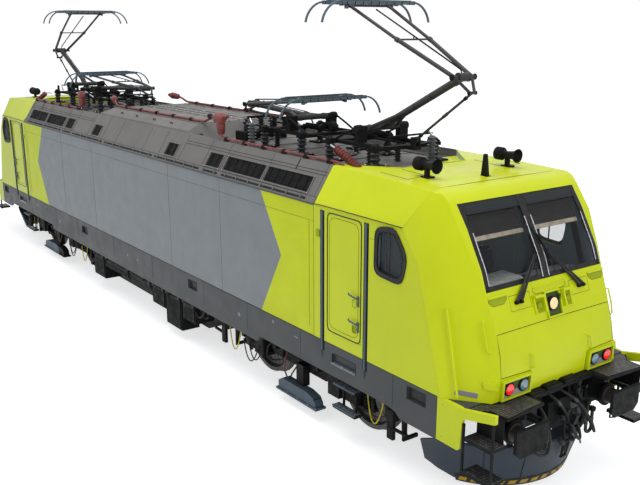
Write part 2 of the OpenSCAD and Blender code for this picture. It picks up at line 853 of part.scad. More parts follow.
// Sand boxes and their pipes, guard irons, inductors, struts and level dampers
module bogie_fittings() {
    color("black")
        both_sides() {
            for (e = ends) {
                block([e * frame_end + (e < 0 ? -190 : seat), 900, 560],
                      [e * frame_end + (e < 0 ? -seat : 190), 1180, 900]);
                bar([e * (frame_end + 60), 920, 570], [e * (half_base + wheel_r + 40), 760, 130], 36);
                block([e * (frame_end + 120) - 20, 700, 190], [e * (frame_end + 120) + 20, 940, 240]);
                block([e * (frame_end + 120) - 20, 899, 190], [e * (frame_end + 120) + 20, 960, 700]);
                // Strut down from the sand box, and the arm back from its foot
                block([e * (frame_end + 125) - 60, 1150, 300], [e * (frame_end + 125) + 60, 1200, 720]);
                bar([e * (frame_end + 125), 1175, 460], [e * (frame_end + 430), 1175, 470], 50);
                // Cover beside the wheel
                block([e * (half_base - 310) - 130, beam_y[1] + seat, 480],
                      [e * (half_base - 310) + 130, 1230, 800]);
            }
            // Train-control inductor: a rounded pod on a plate, hung from the side beam
            block([-340, 1150, 150], [700, 1330, 180]);
            side_plate([[-300, 179], [-300, 300], [-200, 360], [420, 360], [620, 300], [660, 179]],
                       1170, 1310);
            block([80, beam_y[1] + seat, 359], [260, 1240, 690]);
            // Level dampers on the side beam
            bar([-600, 1215, 850], [600, 1215, 850], 70);
            for (x = [-560, 560])
                block([x - 30, beam_y[1] + seat, 700], [x + 30, 1215, 880]);
        }
}

module at_bogie(e) {
    translate([e * pivot_spacing / 2, 0, 0])
        children();
}
module bogie_frame_front() { at_bogie(1) bogie_frame(); }
module bogie_frame_rear() { at_bogie(-1) bogie_frame(); }
module bogie_suspension_front() { at_bogie(1) bogie_suspension(); }
module bogie_suspension_rear() { at_bogie(-1) bogie_suspension(); }
module traction_motors_front() { at_bogie(1) traction_motors(); }
module traction_motors_rear() { at_bogie(-1) traction_motors(); }
module bogie_fittings_front() { at_bogie(1) bogie_fittings(); }
module bogie_fittings_rear() { at_bogie(-1) bogie_fittings(); }

// One side of a wheelset's outline, as radius and distance from its middle: axle, hub, web,
// flange, tread, rim and journal
axle_r = 95;
wheel_y = back_to_back / 2;
function wheel_half() = [
    [axle_r, wheel_y - 40], [150, wheel_y - 30], [150, wheel_y + 45], [wheel_r - 90, wheel_y + 30],
    [wheel_r - 70, wheel_y], [wheel_r + flange_h - 8, wheel_y], [wheel_r + flange_h, wheel_y + 8],
    [wheel_r + flange_h, wheel_y + 18], [wheel_r + 10, wheel_y + 30], [wheel_r, wheel_y + 42],
    [wheel_r - 4, wheel_y + 135], [wheel_r - 70, wheel_y + 135], [wheel_r - 90, wheel_y + 75],
    [150, wheel_y + 90], [150, wheel_y + 150], [journal_r, wheel_y + 165],
    [journal_r, beam_y[1] + 30], [0, beam_y[1] + 30]];
module wheelset(e, k) {
    half = wheel_half();
    color("silver")
        translate([e * pivot_spacing / 2 + k * half_base, 0, wheel_r])
            rotate([90, 0, 0])
                rotate_extrude($fn = 72)
                    polygon(concat([for (i = [len(half) - 1:-1:0]) [half[i].x, -half[i].y]], half));
}
module wheelset_1() { wheelset(1, 1); }
module wheelset_2() { wheelset(1, -1); }
module wheelset_3() { wheelset(-1, 1); }
module wheelset_4() { wheelset(-1, -1); }

// ---- Pantographs: x runs from the main pivot towards the knee, angle t is the lower arm's
// rise above its lowered place. The other angles follow it at constant ratios. ----

lower_rest = 2.8;
upper_rest = 174.7;
upper_ratio = 0.855;        // the upper arm's turn for each degree of the lower one
bracket_r = 250;            // the knee's bracket, from its shaft to the thrust rod's pin
bracket_off = 202.7;
thrust_p = [720, -110];     // the thrust rod's lower pivot
function polar(r, a) = r * [cos(a), sin(a)];
function knee(t) = polar(pan_lower_l, lower_rest + t);
function upper_a(t) = upper_rest - upper_ratio * t;
function pan_head(t) = knee(t) + polar(pan_upper_l, upper_a(t));
function rod_pin(t) = knee(t) + polar(bracket_r, upper_a(t) - bracket_off);
function to3(p, y) = [p.x, y, p.y];

// Pantographs 1 and 4 are the outer ones, 2 and 3 the inner ones
pan_table = [[pan_x[0], 1, pan_raised], [pan_x[1], -1, 0], [-pan_x[1], 1, 0],
             [-pan_x[0], -1, pan_raised]];
module at_pan(n) {
    p = pan_table[n - 1];
    translate([p[0], 0, pan_foot_z])
        mirror([p[1] < 0 ? 1 : 0, 0, 0])
            children();
}

knee_w = 150;
foot_w = 300;
head_y = 431;
module lower_arm(n) {
    t = pan_table[n - 1][2];
    k = knee(t);
    color("dimgray")
        at_pan(n) {
            bar([0, -foot_w, 0], [0, foot_w, 0], 90);
            bar([0, 0, 0], to3(k * (1 - 40 / pan_lower_l), 0), 95);
            for (s = ends)
                bar([0, s * (foot_w - 40), 0], to3(k * 0.35, 0), 50);
            translate([k.x, knee_w - 45, k.y])
                rotate([90, 0, 0])
                    difference() {
                        cylinder(h = 2 * knee_w - 90, d = 110);
                        translate([0, 0, -1])
                            cylinder(h = 2 * knee_w, r = 30 + fit);
                    }
        }
}

module upper_arm(n) {
    t = pan_table[n - 1][2];
    k = knee(t);
    h = pan_head(t);
    p = rod_pin(t);
    color("dimgray")
        at_pan(n) {
            bar(to3(k, -knee_w - 50), to3(k, knee_w + 50), 60);
            for (s = ends) {
                bar(to3(k, s * (knee_w + 5)), to3(k + (h - k) * 0.5, s * (knee_w + 140)), 56);
                bar(to3(k + (h - k) * 0.5, s * (knee_w + 140)), to3(h, s * (head_y - 75)), 44);
                bar(to3(k, s * (knee_w + 5)), to3(p, s * 40), 40);
            }
            bar(to3(h, -head_y), to3(h, head_y), 40);
            bar(to3(p, -60), to3(p, 60), 40);
        }
}

// The rod ends short of its knee pin, which drifts towards it while a lowered arm rises
module thrust_rod(n) {
    t = pan_table[n - 1][2];
    p = rod_pin(t);
    u = (p - thrust_p) / norm(p - thrust_p);
    short = 26 + 0.8 * max(0, 23.4 - t);
    color("dimgray")
        at_pan(n) {
            bar(to3(thrust_p + 30 * u, 0), to3(p - short * u, 0), 34);
            difference() {
                translate([thrust_p.x, 25, thrust_p.y])
                    rotate([90, 0, 0])
                        cylinder(h = 50, d = 80);
                translate([thrust_p.x, 26, thrust_p.y])
                    rotate([90, 0, 0])
                        cylinder(h = 52, r = 20 + fit);
            }
        }
}

// Head: two contact strips with drooping horns on a small sprung frame
strip_x = 190;
strip_up = 60;
horn_r = 330;
horn_a = 80;
module head(n) {
    t = pan_table[n - 1][2];
    h = pan_head(t);
    straight = pan_half_w - horn_r * sin(horn_a);
    color("slategray")
        at_pan(n)
            translate(to3(h, 0)) {
                for (x = [-strip_x, strip_x]) {
                    block([x - 30, -straight, strip_up - 45], [x + 30, straight, strip_up]);
                    both_sides()
                        translate([x - 12, straight - 1, strip_up - 14 - horn_r])
                            rotate([90, 0, 90])
                                rotate([0, 0, 90 - horn_a])
                                    rotate_extrude(angle = horn_a, $fn = 64)
                                        translate([horn_r - 12, 0])
                                            square(24);
                }
                both_sides() {
                    block([-strip_x + 29, head_y - 40, strip_up - 37], [strip_x - 29, head_y - 10, strip_up - 16]);
                    difference() {
                        block([-30, head_y - 39, -45], [30, head_y - 11, strip_up - 20]);
                        translate([0, head_y + 1, 0])
                            rotate([90, 0, 0])
                                cylinder(h = 60, r = 20 + fit);
                    }
                }
            }
}
module lower_arm_1() { lower_arm(1); }
module lower_arm_2() { lower_arm(2); }
module lower_arm_3() { lower_arm(3); }
module lower_arm_4() { lower_arm(4); }
module upper_arm_1() { upper_arm(1); }
module upper_arm_2() { upper_arm(2); }
module upper_arm_3() { upper_arm(3); }
module upper_arm_4() { upper_arm(4); }
module thrust_rod_1() { thrust_rod(1); }
module thrust_rod_2() { thrust_rod(2); }
module thrust_rod_3() { thrust_rod(3); }
module thrust_rod_4() { thrust_rod(4); }
module head_1() { head(1); }
module head_2() { head(2); }
module head_3() { head(3); }
module head_4() { head(4); }

// Base frames: rails on four insulators, with the bearings of the arm and of the thrust rod
pan_feet_x = [-500, 530];
pan_feet_y = 550;
pan_rail_z = -190;          // top of the base rails below the main pivot
module pantograph_frames() {
    color("black")
        for (n = [1:4])
            at_pan(n) {
                both_sides() {
                    block([pan_feet_x[0] - 60, pan_feet_y - 150, pan_rail_z - 50],
                          [pan_feet_x[1] + 60, pan_feet_y - 90, pan_rail_z]);
                    // Bearing of the lower arm
                    block([-50, foot_w + clear, pan_rail_z - 1], [50, pan_feet_y - 90, 40]);
                    block([-30, foot_w + seat, -30], [30, foot_w + clear + 1, 30]);
                }
                for (x = pan_feet_x)
                    block([x - 60, -pan_feet_y - 60, pan_rail_z - 50],
                          [x + 60, pan_feet_y + 60, pan_rail_z - 1]);
                block([pan_feet_x[1] + 59, -60, pan_rail_z - 50], [thrust_p.x + 50, 60, pan_rail_z]);
                both_sides()
                    block([thrust_p.x - 40, 25 + 1, pan_rail_z - 1], [thrust_p.x + 40, 60, thrust_p.y + 40]);
                bar([thrust_p.x, -60, thrust_p.y], [thrust_p.x, 60, thrust_p.y], 40);
            }
}

// Ribbed insulator of height h standing on z = 0
module insulator(h, r) {
    ribs = floor(h / 55);
    pitch = h / ribs;
    rotate_extrude($fn = 24)
        polygon(concat([[0, 0]], [for (k = [0:ribs - 1], q = [[0.62, 0.1], [1, 0.45], [1, 0.55], [0.62, 0.9]])
                        [r * q[0], (k + q[1]) * pitch]], [[0, h]]));
}

function under_pan(x) = abs(x) > bulkhead_x ? deck_z + 40 : deck_z;
module roof_insulators() {
    color("dimgray")
        for (n = [1:4], x = pan_feet_x, s = ends) {
            p = pan_table[n - 1];
            wx = p[0] + p[1] * x;
            z = under_pan(wx) + seat;
            translate([wx, s * pan_feet_y, z])
                insulator(pan_foot_z + pan_rail_z - 50 - seat - z, 75);
        }
}

// High-voltage cables on the roof, each clamped to it
cable_z = roof_z + 40;
module roof_cables() {
    color("firebrick") {
        both_ends()
            bar([bulkhead_x - 2900, -crown_y + 25, cable_z], [bulkhead_x - 30, -crown_y + 25, cable_z], 34);
        both_sides()
            bar([-hood_half_l + 300, 800, hood_z + 40], [hood_half_l - 300, 800, hood_z + 40], 44);
    }
    color("black") {
        both_ends()
            for (k = [0:5])
                block([bulkhead_x - 2860 + k * 550 - 25, -crown_y + 5, roof_z + seat],
                      [bulkhead_x - 2860 + k * 550 + 25, -crown_y + 45, cable_z - 10]);
        both_sides()
            for (k = [-2:2])
                block([k * 700 - 30, 770, hood_z + seat], [k * 700 + 30, 830, hood_z + 30]);
    }
}

horn_x = nose_x - 1460;
horn_foot = -155 + seat;
module horns() {
    color("black")
        both_ends()
            both_sides()
                translate([horn_x, 725, 3900 - 3770 + roof_z]) {
                    rotate([0, -90, 0])
                        rotate_extrude()
                            polygon([[0, 40], [60, 10], [85, 0], [95, 0], [60, 60], [40, 240], [70, 260],
                                     [80, 300], [80, 350], [0, 377]]);
                    block([-200, -30, horn_foot], [-150, 30, 1]);
                }
}

// Everything is drawn above the rail head, which stands a flange's height over z = 0
translate([0, 0, flange_h]) {
    underframe();
    corner_skirts();
    side_wall_left();
    side_wall_right();
    machine_roof();
    roof_grilles();
    cab_noses();
    cab_sides();
    cab_roofs();
    cab_bulkheads();
    windscreens();
    side_windows();
    driver_desks();
    driver_seats();
    lamps();
    buffers();
    couplers();
    brake_hoses();
    steps();
    handrails();
    rail_guards();
    transformer();
    underfloor_boxes();
    converter_block();
    pantograph_frames();
    roof_insulators();
    roof_cables();
    horns();
    door_front_right();
    door_front_left();
    door_rear_right();
    door_rear_left();
    bogie_frame_front();
    bogie_frame_rear();
    bogie_suspension_front();
    bogie_suspension_rear();
    traction_motors_front();
    traction_motors_rear();
    bogie_fittings_front();
    bogie_fittings_rear();
    wheelset_1();
    wheelset_2();
    wheelset_3();
    wheelset_4();
    lower_arm_1();
    lower_arm_2();
    lower_arm_3();
    lower_arm_4();
    upper_arm_1();
    upper_arm_2();
    upper_arm_3();
    upper_arm_4();
    thrust_rod_1();
    thrust_rod_2();
    thrust_rod_3();
    thrust_rod_4();
    head_1();
    head_2();
    head_3();
    head_4();
}
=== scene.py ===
"""Electric freight locomotive: finishes, fine detail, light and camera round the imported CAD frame.

Lengths are in metres. +X is forward, +Y left and +Z up. Pieces are drawn with heights above the
rail head, which is FLANGE above the floor, and lifted as they are built. Most are drawn for the
front left quarter or for one bogie, and copied to the other places by mirroring.
"""
import json
import math

import bmesh
import bpy
from mathutils import Matrix, Vector

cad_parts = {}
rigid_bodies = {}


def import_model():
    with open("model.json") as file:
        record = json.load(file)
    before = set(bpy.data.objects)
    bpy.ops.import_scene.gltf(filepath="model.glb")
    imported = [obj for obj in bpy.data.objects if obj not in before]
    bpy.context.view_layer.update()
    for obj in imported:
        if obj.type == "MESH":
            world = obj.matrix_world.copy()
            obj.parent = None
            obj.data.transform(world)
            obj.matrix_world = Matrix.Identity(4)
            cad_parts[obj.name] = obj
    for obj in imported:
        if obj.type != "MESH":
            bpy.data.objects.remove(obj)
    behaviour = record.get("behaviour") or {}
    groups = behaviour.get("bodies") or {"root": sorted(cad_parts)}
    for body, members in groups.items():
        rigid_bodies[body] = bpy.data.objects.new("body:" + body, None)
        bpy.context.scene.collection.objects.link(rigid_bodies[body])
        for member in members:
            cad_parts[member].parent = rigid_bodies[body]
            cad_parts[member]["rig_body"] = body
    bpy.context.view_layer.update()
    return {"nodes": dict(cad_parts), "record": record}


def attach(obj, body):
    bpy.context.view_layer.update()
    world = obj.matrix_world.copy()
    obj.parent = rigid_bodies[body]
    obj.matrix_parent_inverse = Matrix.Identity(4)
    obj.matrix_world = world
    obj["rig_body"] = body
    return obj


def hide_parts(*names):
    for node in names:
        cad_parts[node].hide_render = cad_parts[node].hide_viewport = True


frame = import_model()
NODES = frame["nodes"]

# ---------------------------------------------------------------- camera, light and floor

FLANGE = 0.03
CAMERA_AT = (14.9, -7.807, 5.579)
CAMERA_YAW = math.radians(143.74)
CAMERA_PITCH = math.radians(-16.12)


def place(name, data, at, ahead):
    """Links an object that looks along ahead."""
    made = bpy.data.objects.new(name, data)
    bpy.context.scene.collection.objects.link(made)
    made.location = at
    made.rotation_euler = Vector(ahead).to_track_quat("-Z", "Y").to_euler()
    return made


def add_camera():
    data = bpy.data.cameras.new("camera")
    data.lens = 47.01
    data.sensor_width = 36
    data.shift_x = -0.004
    data.shift_y = 0.0379
    data.clip_end = 500
    level = math.cos(CAMERA_PITCH)
    ahead = (level * math.cos(CAMERA_YAW), level * math.sin(CAMERA_YAW), math.sin(CAMERA_PITCH))
    bpy.context.scene.camera = place("camera", data, CAMERA_AT, ahead)


def add_area(name, at, towards, size, power, colour):
    data = bpy.data.lights.new(name, "AREA")
    data.shape = "SQUARE"
    data.size = size
    data.energy = power
    data.color = colour
    place(name, data, at, Vector(towards) - Vector(at))


def seen(tree):
    """1 where a surface is seen by the camera directly, in a reflection or through glass."""
    path = tree.nodes.new("ShaderNodeLightPath")
    value = path.outputs["Is Camera Ray"]
    for kind in ("Is Glossy Ray", "Is Transmission Ray"):
        either = tree.nodes.new("ShaderNodeMath")
        either.operation = "MAXIMUM"
        tree.links.new(value, either.inputs[0])
        tree.links.new(path.outputs[kind], either.inputs[1])
        value = either.outputs[0]
    return value


def add_world():
    """White where it is seen, and a cool soft light on everything else."""
    world = bpy.data.worlds.new("studio")
    bpy.context.scene.world = world
    world.use_nodes = True
    tree = world.node_tree
    tree.nodes.clear()
    out = tree.nodes.new("ShaderNodeOutputWorld")
    mix = tree.nodes.new("ShaderNodeMixShader")
    tree.links.new(seen(tree), mix.inputs[0])
    for socket, colour, strength in ((1, (0.86, 0.93, 1.0, 1), 0.5), (2, (1, 1, 1, 1), 1.0)):
        sky = tree.nodes.new("ShaderNodeBackground")
        sky.inputs["Color"].default_value = colour
        sky.inputs["Strength"].default_value = strength
        tree.links.new(sky.outputs[0], mix.inputs[socket])
    tree.links.new(mix.outputs[0], out.inputs[0])


def add_floor():
    """A wide floor: seen directly it is lifted to white, and only its shadows stay."""
    mesh = bpy.data.meshes.new("floor")
    half, lift_by = 120, 0.66
    mesh.from_pydata([(-half, -half, 0), (half, -half, 0), (half, half, 0), (-half, half, 0)], [],
                     [(0, 1, 2, 3)])
    floor = bpy.data.objects.new("floor", mesh)
    bpy.context.scene.collection.objects.link(floor)
    material = bpy.data.materials.new("floor")
    material.use_nodes = True
    tree = material.node_tree
    shader = tree.nodes["Principled BSDF"]
    shader.inputs["Base Color"].default_value = (0.8, 0.8, 0.8, 1)
    shader.inputs["Roughness"].default_value = 0.9
    shader.inputs["Emission Color"].default_value = (1, 1, 1, 1)
    lift = tree.nodes.new("ShaderNodeMath")
    lift.operation = "MULTIPLY"
    lift.inputs[1].default_value = lift_by
    tree.links.new(seen(tree), lift.inputs[0])
    tree.links.new(lift.outputs[0], shader.inputs["Emission Strength"])
    mesh.materials.append(material)


def add_stage():
    bpy.context.scene.view_settings.view_transform = "Standard"
    add_world()
    add_area("sky", (4, -3, 18), (1, 0, 1), 14, 2000, (1.0, 0.98, 0.95))
    add_area("front", (24, -3, 6), (8, 0, 2), 9, 850, (1.0, 0.98, 0.95))
    add_area("side", (0, -20, 5), (0, 0, 1.5), 10, 260, (0.95, 0.98, 1.0))
    add_floor()


add_camera()
add_stage()

# ---------------------------------------------------------------- materials


class Graph:
    """Short names for building a material's nodes."""

    def __init__(self, name):
        self.material = bpy.data.materials.new(name)
        self.material.use_nodes = True
        self.tree = self.material.node_tree
        self.shader = self.tree.nodes["Principled BSDF"]
        self.point = self.node("ShaderNodeTexCoord").outputs["Object"]

    def node(self, kind, sockets=None, **settings):
        made = self.tree.nodes.new(kind)
        for key, value in settings.items():
            setattr(made, key, value)
        for key, value in (sockets or {}).items():
            if isinstance(value, bpy.types.NodeSocket):
                self.tree.links.new(value, made.inputs[key])
            else:
                made.inputs[key].default_value = value
        return made

    def math(self, operation, a, b=0.0, c=0.0, clamp=False):
        made = self.node("ShaderNodeMath", {0: a, 1: b, 2: c}, operation=operation)
        made.use_clamp = clamp
        return made.outputs[0]

    def noise(self, scale, detail=4.0, stretch=(1, 1, 1), rough=0.55):
        mapped = self.node("ShaderNodeMapping", {"Vector": self.point, "Scale": stretch})
        return self.node("ShaderNodeTexNoise",
                         {"Vector": mapped.outputs[0], "Scale": scale, "Detail": detail,
                          "Roughness": rough}).outputs["Fac"]

    def ramp(self, value, low, high, to_low=0.0, to_high=1.0):
        made = self.node("ShaderNodeMapRange",
                         {"Value": value, "From Min": low, "From Max": high, "To Min": to_low,
                          "To Max": to_high})
        return made.outputs[0]

    def mix(self, amount, a, b):
        made = self.node("ShaderNodeMix", data_type="RGBA")
        for socket, value in ((made.inputs[0], amount), (made.inputs[6], a), (made.inputs[7], b)):
            if isinstance(value, bpy.types.NodeSocket):
                self.tree.links.new(value, socket)
            elif socket is made.inputs[0]:
                socket.default_value = value
            else:
                socket.default_value = (*value, 1)
        return made.outputs[2]

    def axes(self):
        return self.node("ShaderNodeSeparateXYZ", {0: self.point}).outputs

    def set(self, **values):
        for key, value in values.items():
            socket = self.shader.inputs[key.replace("_", " ")]
            if isinstance(value, bpy.types.NodeSocket):
                self.tree.links.new(value, socket)
            elif isinstance(value, tuple):
                socket.default_value = (*value, 1)
            else:
                socket.default_value = value

    def bump(self, height, strength, distance):
        made = self.node("ShaderNodeBump",
                         {"Height": height, "Strength": strength, "Distance": distance})
        self.tree.links.new(made.outputs[0], self.shader.inputs["Normal"])


def dirty(g, colour, dirt, amount, ground=1.2):
    """colour with soft patches, and dust that thickens towards the ground and in streaks."""
    z = g.axes()[2]
    patches = g.ramp(g.noise(1.3, 6), 0.35, 0.7)
    streaks = g.ramp(g.noise(7, 5, (1, 1, 0.12)), 0.5, 0.78)
    low = g.ramp(z, ground + 0.5, 0.3)
    mask = g.math("MULTIPLY", g.math("ADD", g.math("MULTIPLY", streaks, 0.5), low),
                  g.math("MULTIPLY_ADD", patches, amount, amount * 0.25), clamp=True)
    return g.mix(mask, colour, dirt)


def shaded(colour, by, add=0.0):
    """The colour made darker or lighter."""
    return tuple(min(1, c * by + add) for c in colour)


def paint(name, colour, roughness, dirt=(0.1, 0.095, 0.08), amount=0.18, coat=0.0, tint=0.06):
    """Sprayed paint: slow colour drift, orange peel, dust low down and along streaks."""
    g = Graph(name)
    drift = g.mix(g.ramp(g.noise(0.7, 5), 0.3, 0.7), shaded(colour, 1 - 2 * tint),
                  shaded(colour, 1 + tint))
    g.set(Base_Color=dirty(g, drift, dirt, amount),
          Roughness=g.ramp(g.noise(3.5, 6), 0.3, 0.75, roughness - 0.06, roughness + 0.12),
          Specular_IOR_Level=0.2, Coat_Weight=coat, Coat_Roughness=0.12)
    g.bump(g.noise(90, 3), 0.1, 0.004)
    return g.material


YELLOW = (0.61, 0.685, 0.006)
GREY_SIDE = (0.215, 0.235, 0.247)
GREY_SOLE = (0.06, 0.066, 0.071)
ARROW_TIP = (5.29, 2.404)  # x and height of the point between the yellow and the grey


def livery():
    """The side walls: grey with a yellow end beyond an arrow that points outwards."""
    g = Graph("side_livery")
    x, _, z = g.axes()
    tip_z = ARROW_TIP[1] + FLANGE
    above = g.math("MAXIMUM", g.math("SUBTRACT", z, tip_z), 0)
    below = g.math("MAXIMUM", g.math("SUBTRACT", tip_z, z), 0)
    edge = g.math("SUBTRACT", g.math("SUBTRACT", ARROW_TIP[0], g.math("MULTIPLY", above, 0.606)),
                  g.math("MULTIPLY", below, 0.571))
    outside = g.math("GREATER_THAN", g.math("ABSOLUTE", x), edge)
    blotch = g.ramp(g.noise(2.2, 7), 0.35, 0.7)
    grey = g.mix(blotch, shaded(GREY_SIDE, 0.96), shaded(GREY_SIDE, 1.05))
    yellow = g.mix(blotch, shaded(YELLOW, 0.94), shaded(YELLOW, 1.03))
    base = g.mix(outside, grey, yellow)
    g.set(Base_Color=dirty(g, base, (0.1, 0.1, 0.09), 0.16),
          Roughness=g.ramp(g.noise(4, 6), 0.3, 0.75, 0.36, 0.55), Specular_IOR_Level=0.2)
    g.bump(g.noise(60, 3), 0.1, 0.004)
    return g.material


def sooty(name, colour, dust, roughness=0.62):
    """Matt black running gear with brown dust in soft patches."""
    g = Graph(name)
    patch = g.ramp(g.noise(5, 8), 0.42, 0.75)
    low = g.ramp(g.axes()[2], 1.1, 0.2, 0.25, 1.0)
    base = g.mix(g.math("MULTIPLY", patch, low), colour, dust)
    g.set(Base_Color=base,
          Roughness=g.ramp(g.noise(9, 6), 0.3, 0.7, roughness - 0.15, roughness + 0.2),
          Specular_IOR_Level=0.08)
    g.bump(g.noise(120, 6), 0.35, 0.004)
    return g.material


def steel(name, colour, roughness):
    g = Graph(name)
    rust = g.ramp(g.noise(8, 8), 0.45, 0.72)
    base = g.mix(rust, colour, shaded(colour, 0.55))
    g.set(Base_Color=base, Metallic=0.85,
          Roughness=g.ramp(g.noise(25, 5), 0.3, 0.7, roughness, roughness + 0.2))
    g.bump(g.noise(200, 4), 0.15, 0.002)
    return g.material


def rubber(name, colour, roughness=0.7):
    g = Graph(name)
    base = g.mix(g.ramp(g.noise(12, 6), 0.4, 0.75), colour, shaded(colour, 1.8, 0.01))
    g.set(Base_Color=base,
          Roughness=g.ramp(g.noise(30, 5), 0.3, 0.7, roughness - 0.12, roughness + 0.1),
          Specular_IOR_Level=0.22)
    g.bump(g.noise(250, 3), 0.15, 0.001)
    return g.material


def chequer(name, colour):
    """Raised chequer plate: crossed lozenges as bump over worn black paint."""
    g = Graph(name)
    x, y, _ = g.axes()
    waves = 34.0 * 2.2
    a = g.math("SINE", g.math("MULTIPLY", g.math("ADD", x, y), waves))
    b = g.math("SINE", g.math("MULTIPLY", g.math("SUBTRACT", x, y), waves))
    bars = g.math("MAXIMUM",
                  g.math("MULTIPLY", g.math("GREATER_THAN", a, 0.45), g.math("LESS_THAN", b, 0.1)),
                  g.math("MULTIPLY", g.math("GREATER_THAN", b, 0.45), g.math("LESS_THAN", a, 0.1)))
    worn = g.math("MULTIPLY", bars, g.ramp(g.noise(14, 5), 0.35, 0.7))
    base = g.mix(worn, colour, shaded(colour, 3, 0.12))
    g.set(Base_Color=base, Roughness=0.5, Metallic=0.2)
    g.bump(bars, 0.8, 0.006)
    return g.material


def glass(name, tint, alpha=0.16):
    g = Graph(name)
    smear = g.ramp(g.noise(4, 5), 0.4, 0.8, 0.02, 0.09)
    g.set(Base_Color=tint, Roughness=smear, Alpha=alpha, IOR=1.5, Metallic=0.0)
    g.material.blend_method = "BLEND"
    return g.material


def cloth(name, colour):
    g = Graph(name)
    x, y, z = g.axes()
    weave = g.math("MULTIPLY", g.math("SINE", g.math("MULTIPLY", g.math("ADD", x, z), 900)),
                   g.math("SINE", g.math("MULTIPLY", y, 900)))
    base = g.mix(g.ramp(g.noise(30, 5), 0.35, 0.7), colour, shaded(colour, 1.7))
    g.set(Base_Color=base, Roughness=0.9, Sheen_Weight=0.3)
    g.bump(weave, 0.25, 0.001)
    return g.material


def glow(name, colour, strength):
    """A lit lens with fine upright ribs, brighter between them."""
    g = Graph(name)
    rib = g.math("SINE", g.math("MULTIPLY", g.axes()[1], 520.0))
    shade = g.mix(g.ramp(rib, -1, 1), shaded(colour, 0.62), colour)
    g.set(Base_Color=shade, Emission_Color=shade, Emission_Strength=strength, Roughness=0.15,
          Coat_Weight=1.0)
    g.bump(rib, 0.4, 0.002)
    return g.material


MAT = {
    "cab_paint": paint("cab_yellow", YELLOW, 0.34, (0.2, 0.2, 0.05), 0.1, coat=0.08, tint=0.03),
    "side_paint": livery(),
    "sole_bar_paint": paint("sole_bar_grey", GREY_SOLE, 0.45, (0.08, 0.075, 0.065), 0.3),
    "roof_paint": paint("roof_grey", (0.165, 0.158, 0.152), 0.55, (0.07, 0.065, 0.06), 0.5),
    "black_metal": sooty("black_metal", (0.009, 0.0095, 0.01), (0.022, 0.02, 0.018), 0.55),
    "bogie_paint": sooty("bogie_black", (0.011, 0.0115, 0.012), (0.034, 0.03, 0.026), 0.62),
    "tank_paint": sooty("tank_grey", (0.03, 0.031, 0.033), (0.06, 0.053, 0.045), 0.6),
    # The lining's blue-grey is its own colour, lightened as painted light for the cab inside, which
    # the lamps reach only through the windows
    "cab_lining": paint("cab_lining", (0.44, 0.54, 0.6), 0.6, (0.08, 0.09, 0.1), 0.1),
    "window_glass": glass("window_glass", (0.012, 0.016, 0.02)),
    "desk_plastic": rubber("desk_plastic", (0.62, 0.67, 0.62), 0.55),
    "seat_fabric": cloth("seat_cloth", (0.01, 0.016, 0.04)),
    "lamp_glass": paint("lamp_rim", (0.3, 0.31, 0.32), 0.3, (0.1, 0.1, 0.1), 0.1),
    "hose_rubber": rubber("hose_rubber", (0.018, 0.018, 0.018)),
    "blue_grey_paint": paint("blue_grey", (0.085, 0.125, 0.165), 0.45, (0.05, 0.05, 0.05), 0.35),
    "insulator": rubber("insulator", (0.022, 0.023, 0.025), 0.42),
    "cable_red": rubber("cable_red", (0.15, 0.034, 0.03), 0.5),
    "wheel_steel": steel("wheel_steel", (0.09, 0.088, 0.085), 0.45),
    "pantograph_tube": paint("pantograph_grey", (0.04, 0.04, 0.04), 0.45, (0.1, 0.09, 0.08), 0.4),
    "contact_strip": paint("contact_strip", (0.095, 0.135, 0.165), 0.4, (0.05, 0.05, 0.05), 0.3),
}
EXTRA = {
    "rubber_black": rubber("seal_rubber", (0.01, 0.01, 0.011), 0.5),
    "groove": rubber("groove", (0.03, 0.034, 0.006), 0.9),
    "groove_grey": rubber("groove_grey", (0.014, 0.014, 0.014), 0.9),
    "chequer_black": chequer("chequer_black", (0.016, 0.015, 0.016)),
    "chequer_grey": chequer("chequer_grey", (0.11, 0.13, 0.145)),
    "chrome": steel("bright_metal", (0.65, 0.66, 0.68), 0.18),
    "red_lamp": glow("red_lamp", (0.85, 0.012, 0.012), 0.75),
    "blue_lamp": glow("blue_lamp", (0.16, 0.27, 0.36), 0.15),
    "warm_lamp": glow("warm_lamp", (1.0, 0.62, 0.3), 0.55),
    # Dark olive for the backs of the lamp recesses, as painted shade inside them
    "recess_painted_shade": paint("lamp_recess_painted_shade", (0.05, 0.085, 0.02), 0.5),
    "blind": rubber("blind", (0.5, 0.43, 0.33), 0.8),
    "cable_yellow": rubber("cable_yellow", (0.6, 0.47, 0.02), 0.5),
    "stripe_yellow": paint("stripe_yellow", (0.5, 0.3, 0.02), 0.5),
    "plate_grey": paint("plate_grey", (0.22, 0.2, 0.24), 0.5),
    "mesh_grille": sooty("grille_black", (0.01, 0.01, 0.011), (0.03, 0.03, 0.03), 0.6),
    "guard_blue": paint("guard_blue", (0.036, 0.052, 0.07), 0.5, (0.05, 0.05, 0.05), 0.3),
    "yellow": MAT["cab_paint"],
    "header_panel": paint("header_panel", (0.016, 0.021, 0.024), 0.5, (0.03, 0.03, 0.03)),
    "blind_dark": rubber("blind_case", (0.016, 0.014, 0.013), 0.8),
    # Yellow paint darkened as painted shade, for pocket and recess fills, bolt heads, cup rims and
    # the latch box
    "yellow_painted_shade": paint("yellow_painted_shade", (0.34, 0.41, 0.01), 0.5),
    "grease_brown": rubber("grease_brown", (0.055, 0.048, 0.042), 0.5),
    "chequer_dark": chequer("chequer_dark", (0.03, 0.029, 0.028)),
    "insulator_pale": rubber("insulator_pale", (0.085, 0.09, 0.092), 0.4),
    "horn_black": sooty("horn_black", (0.01, 0.01, 0.011), (0.03, 0.028, 0.026), 0.45),
    "carbon": rubber("carbon", (0.03, 0.03, 0.032), 0.6),
    "steel_dark": steel("bolt_steel", (0.07, 0.068, 0.066), 0.5),
    "wheel_web": sooty("wheel_web", (0.055, 0.058, 0.06), (0.07, 0.06, 0.048), 0.6),
}

# ---------------------------------------------------------------- finish of the CAD nodes

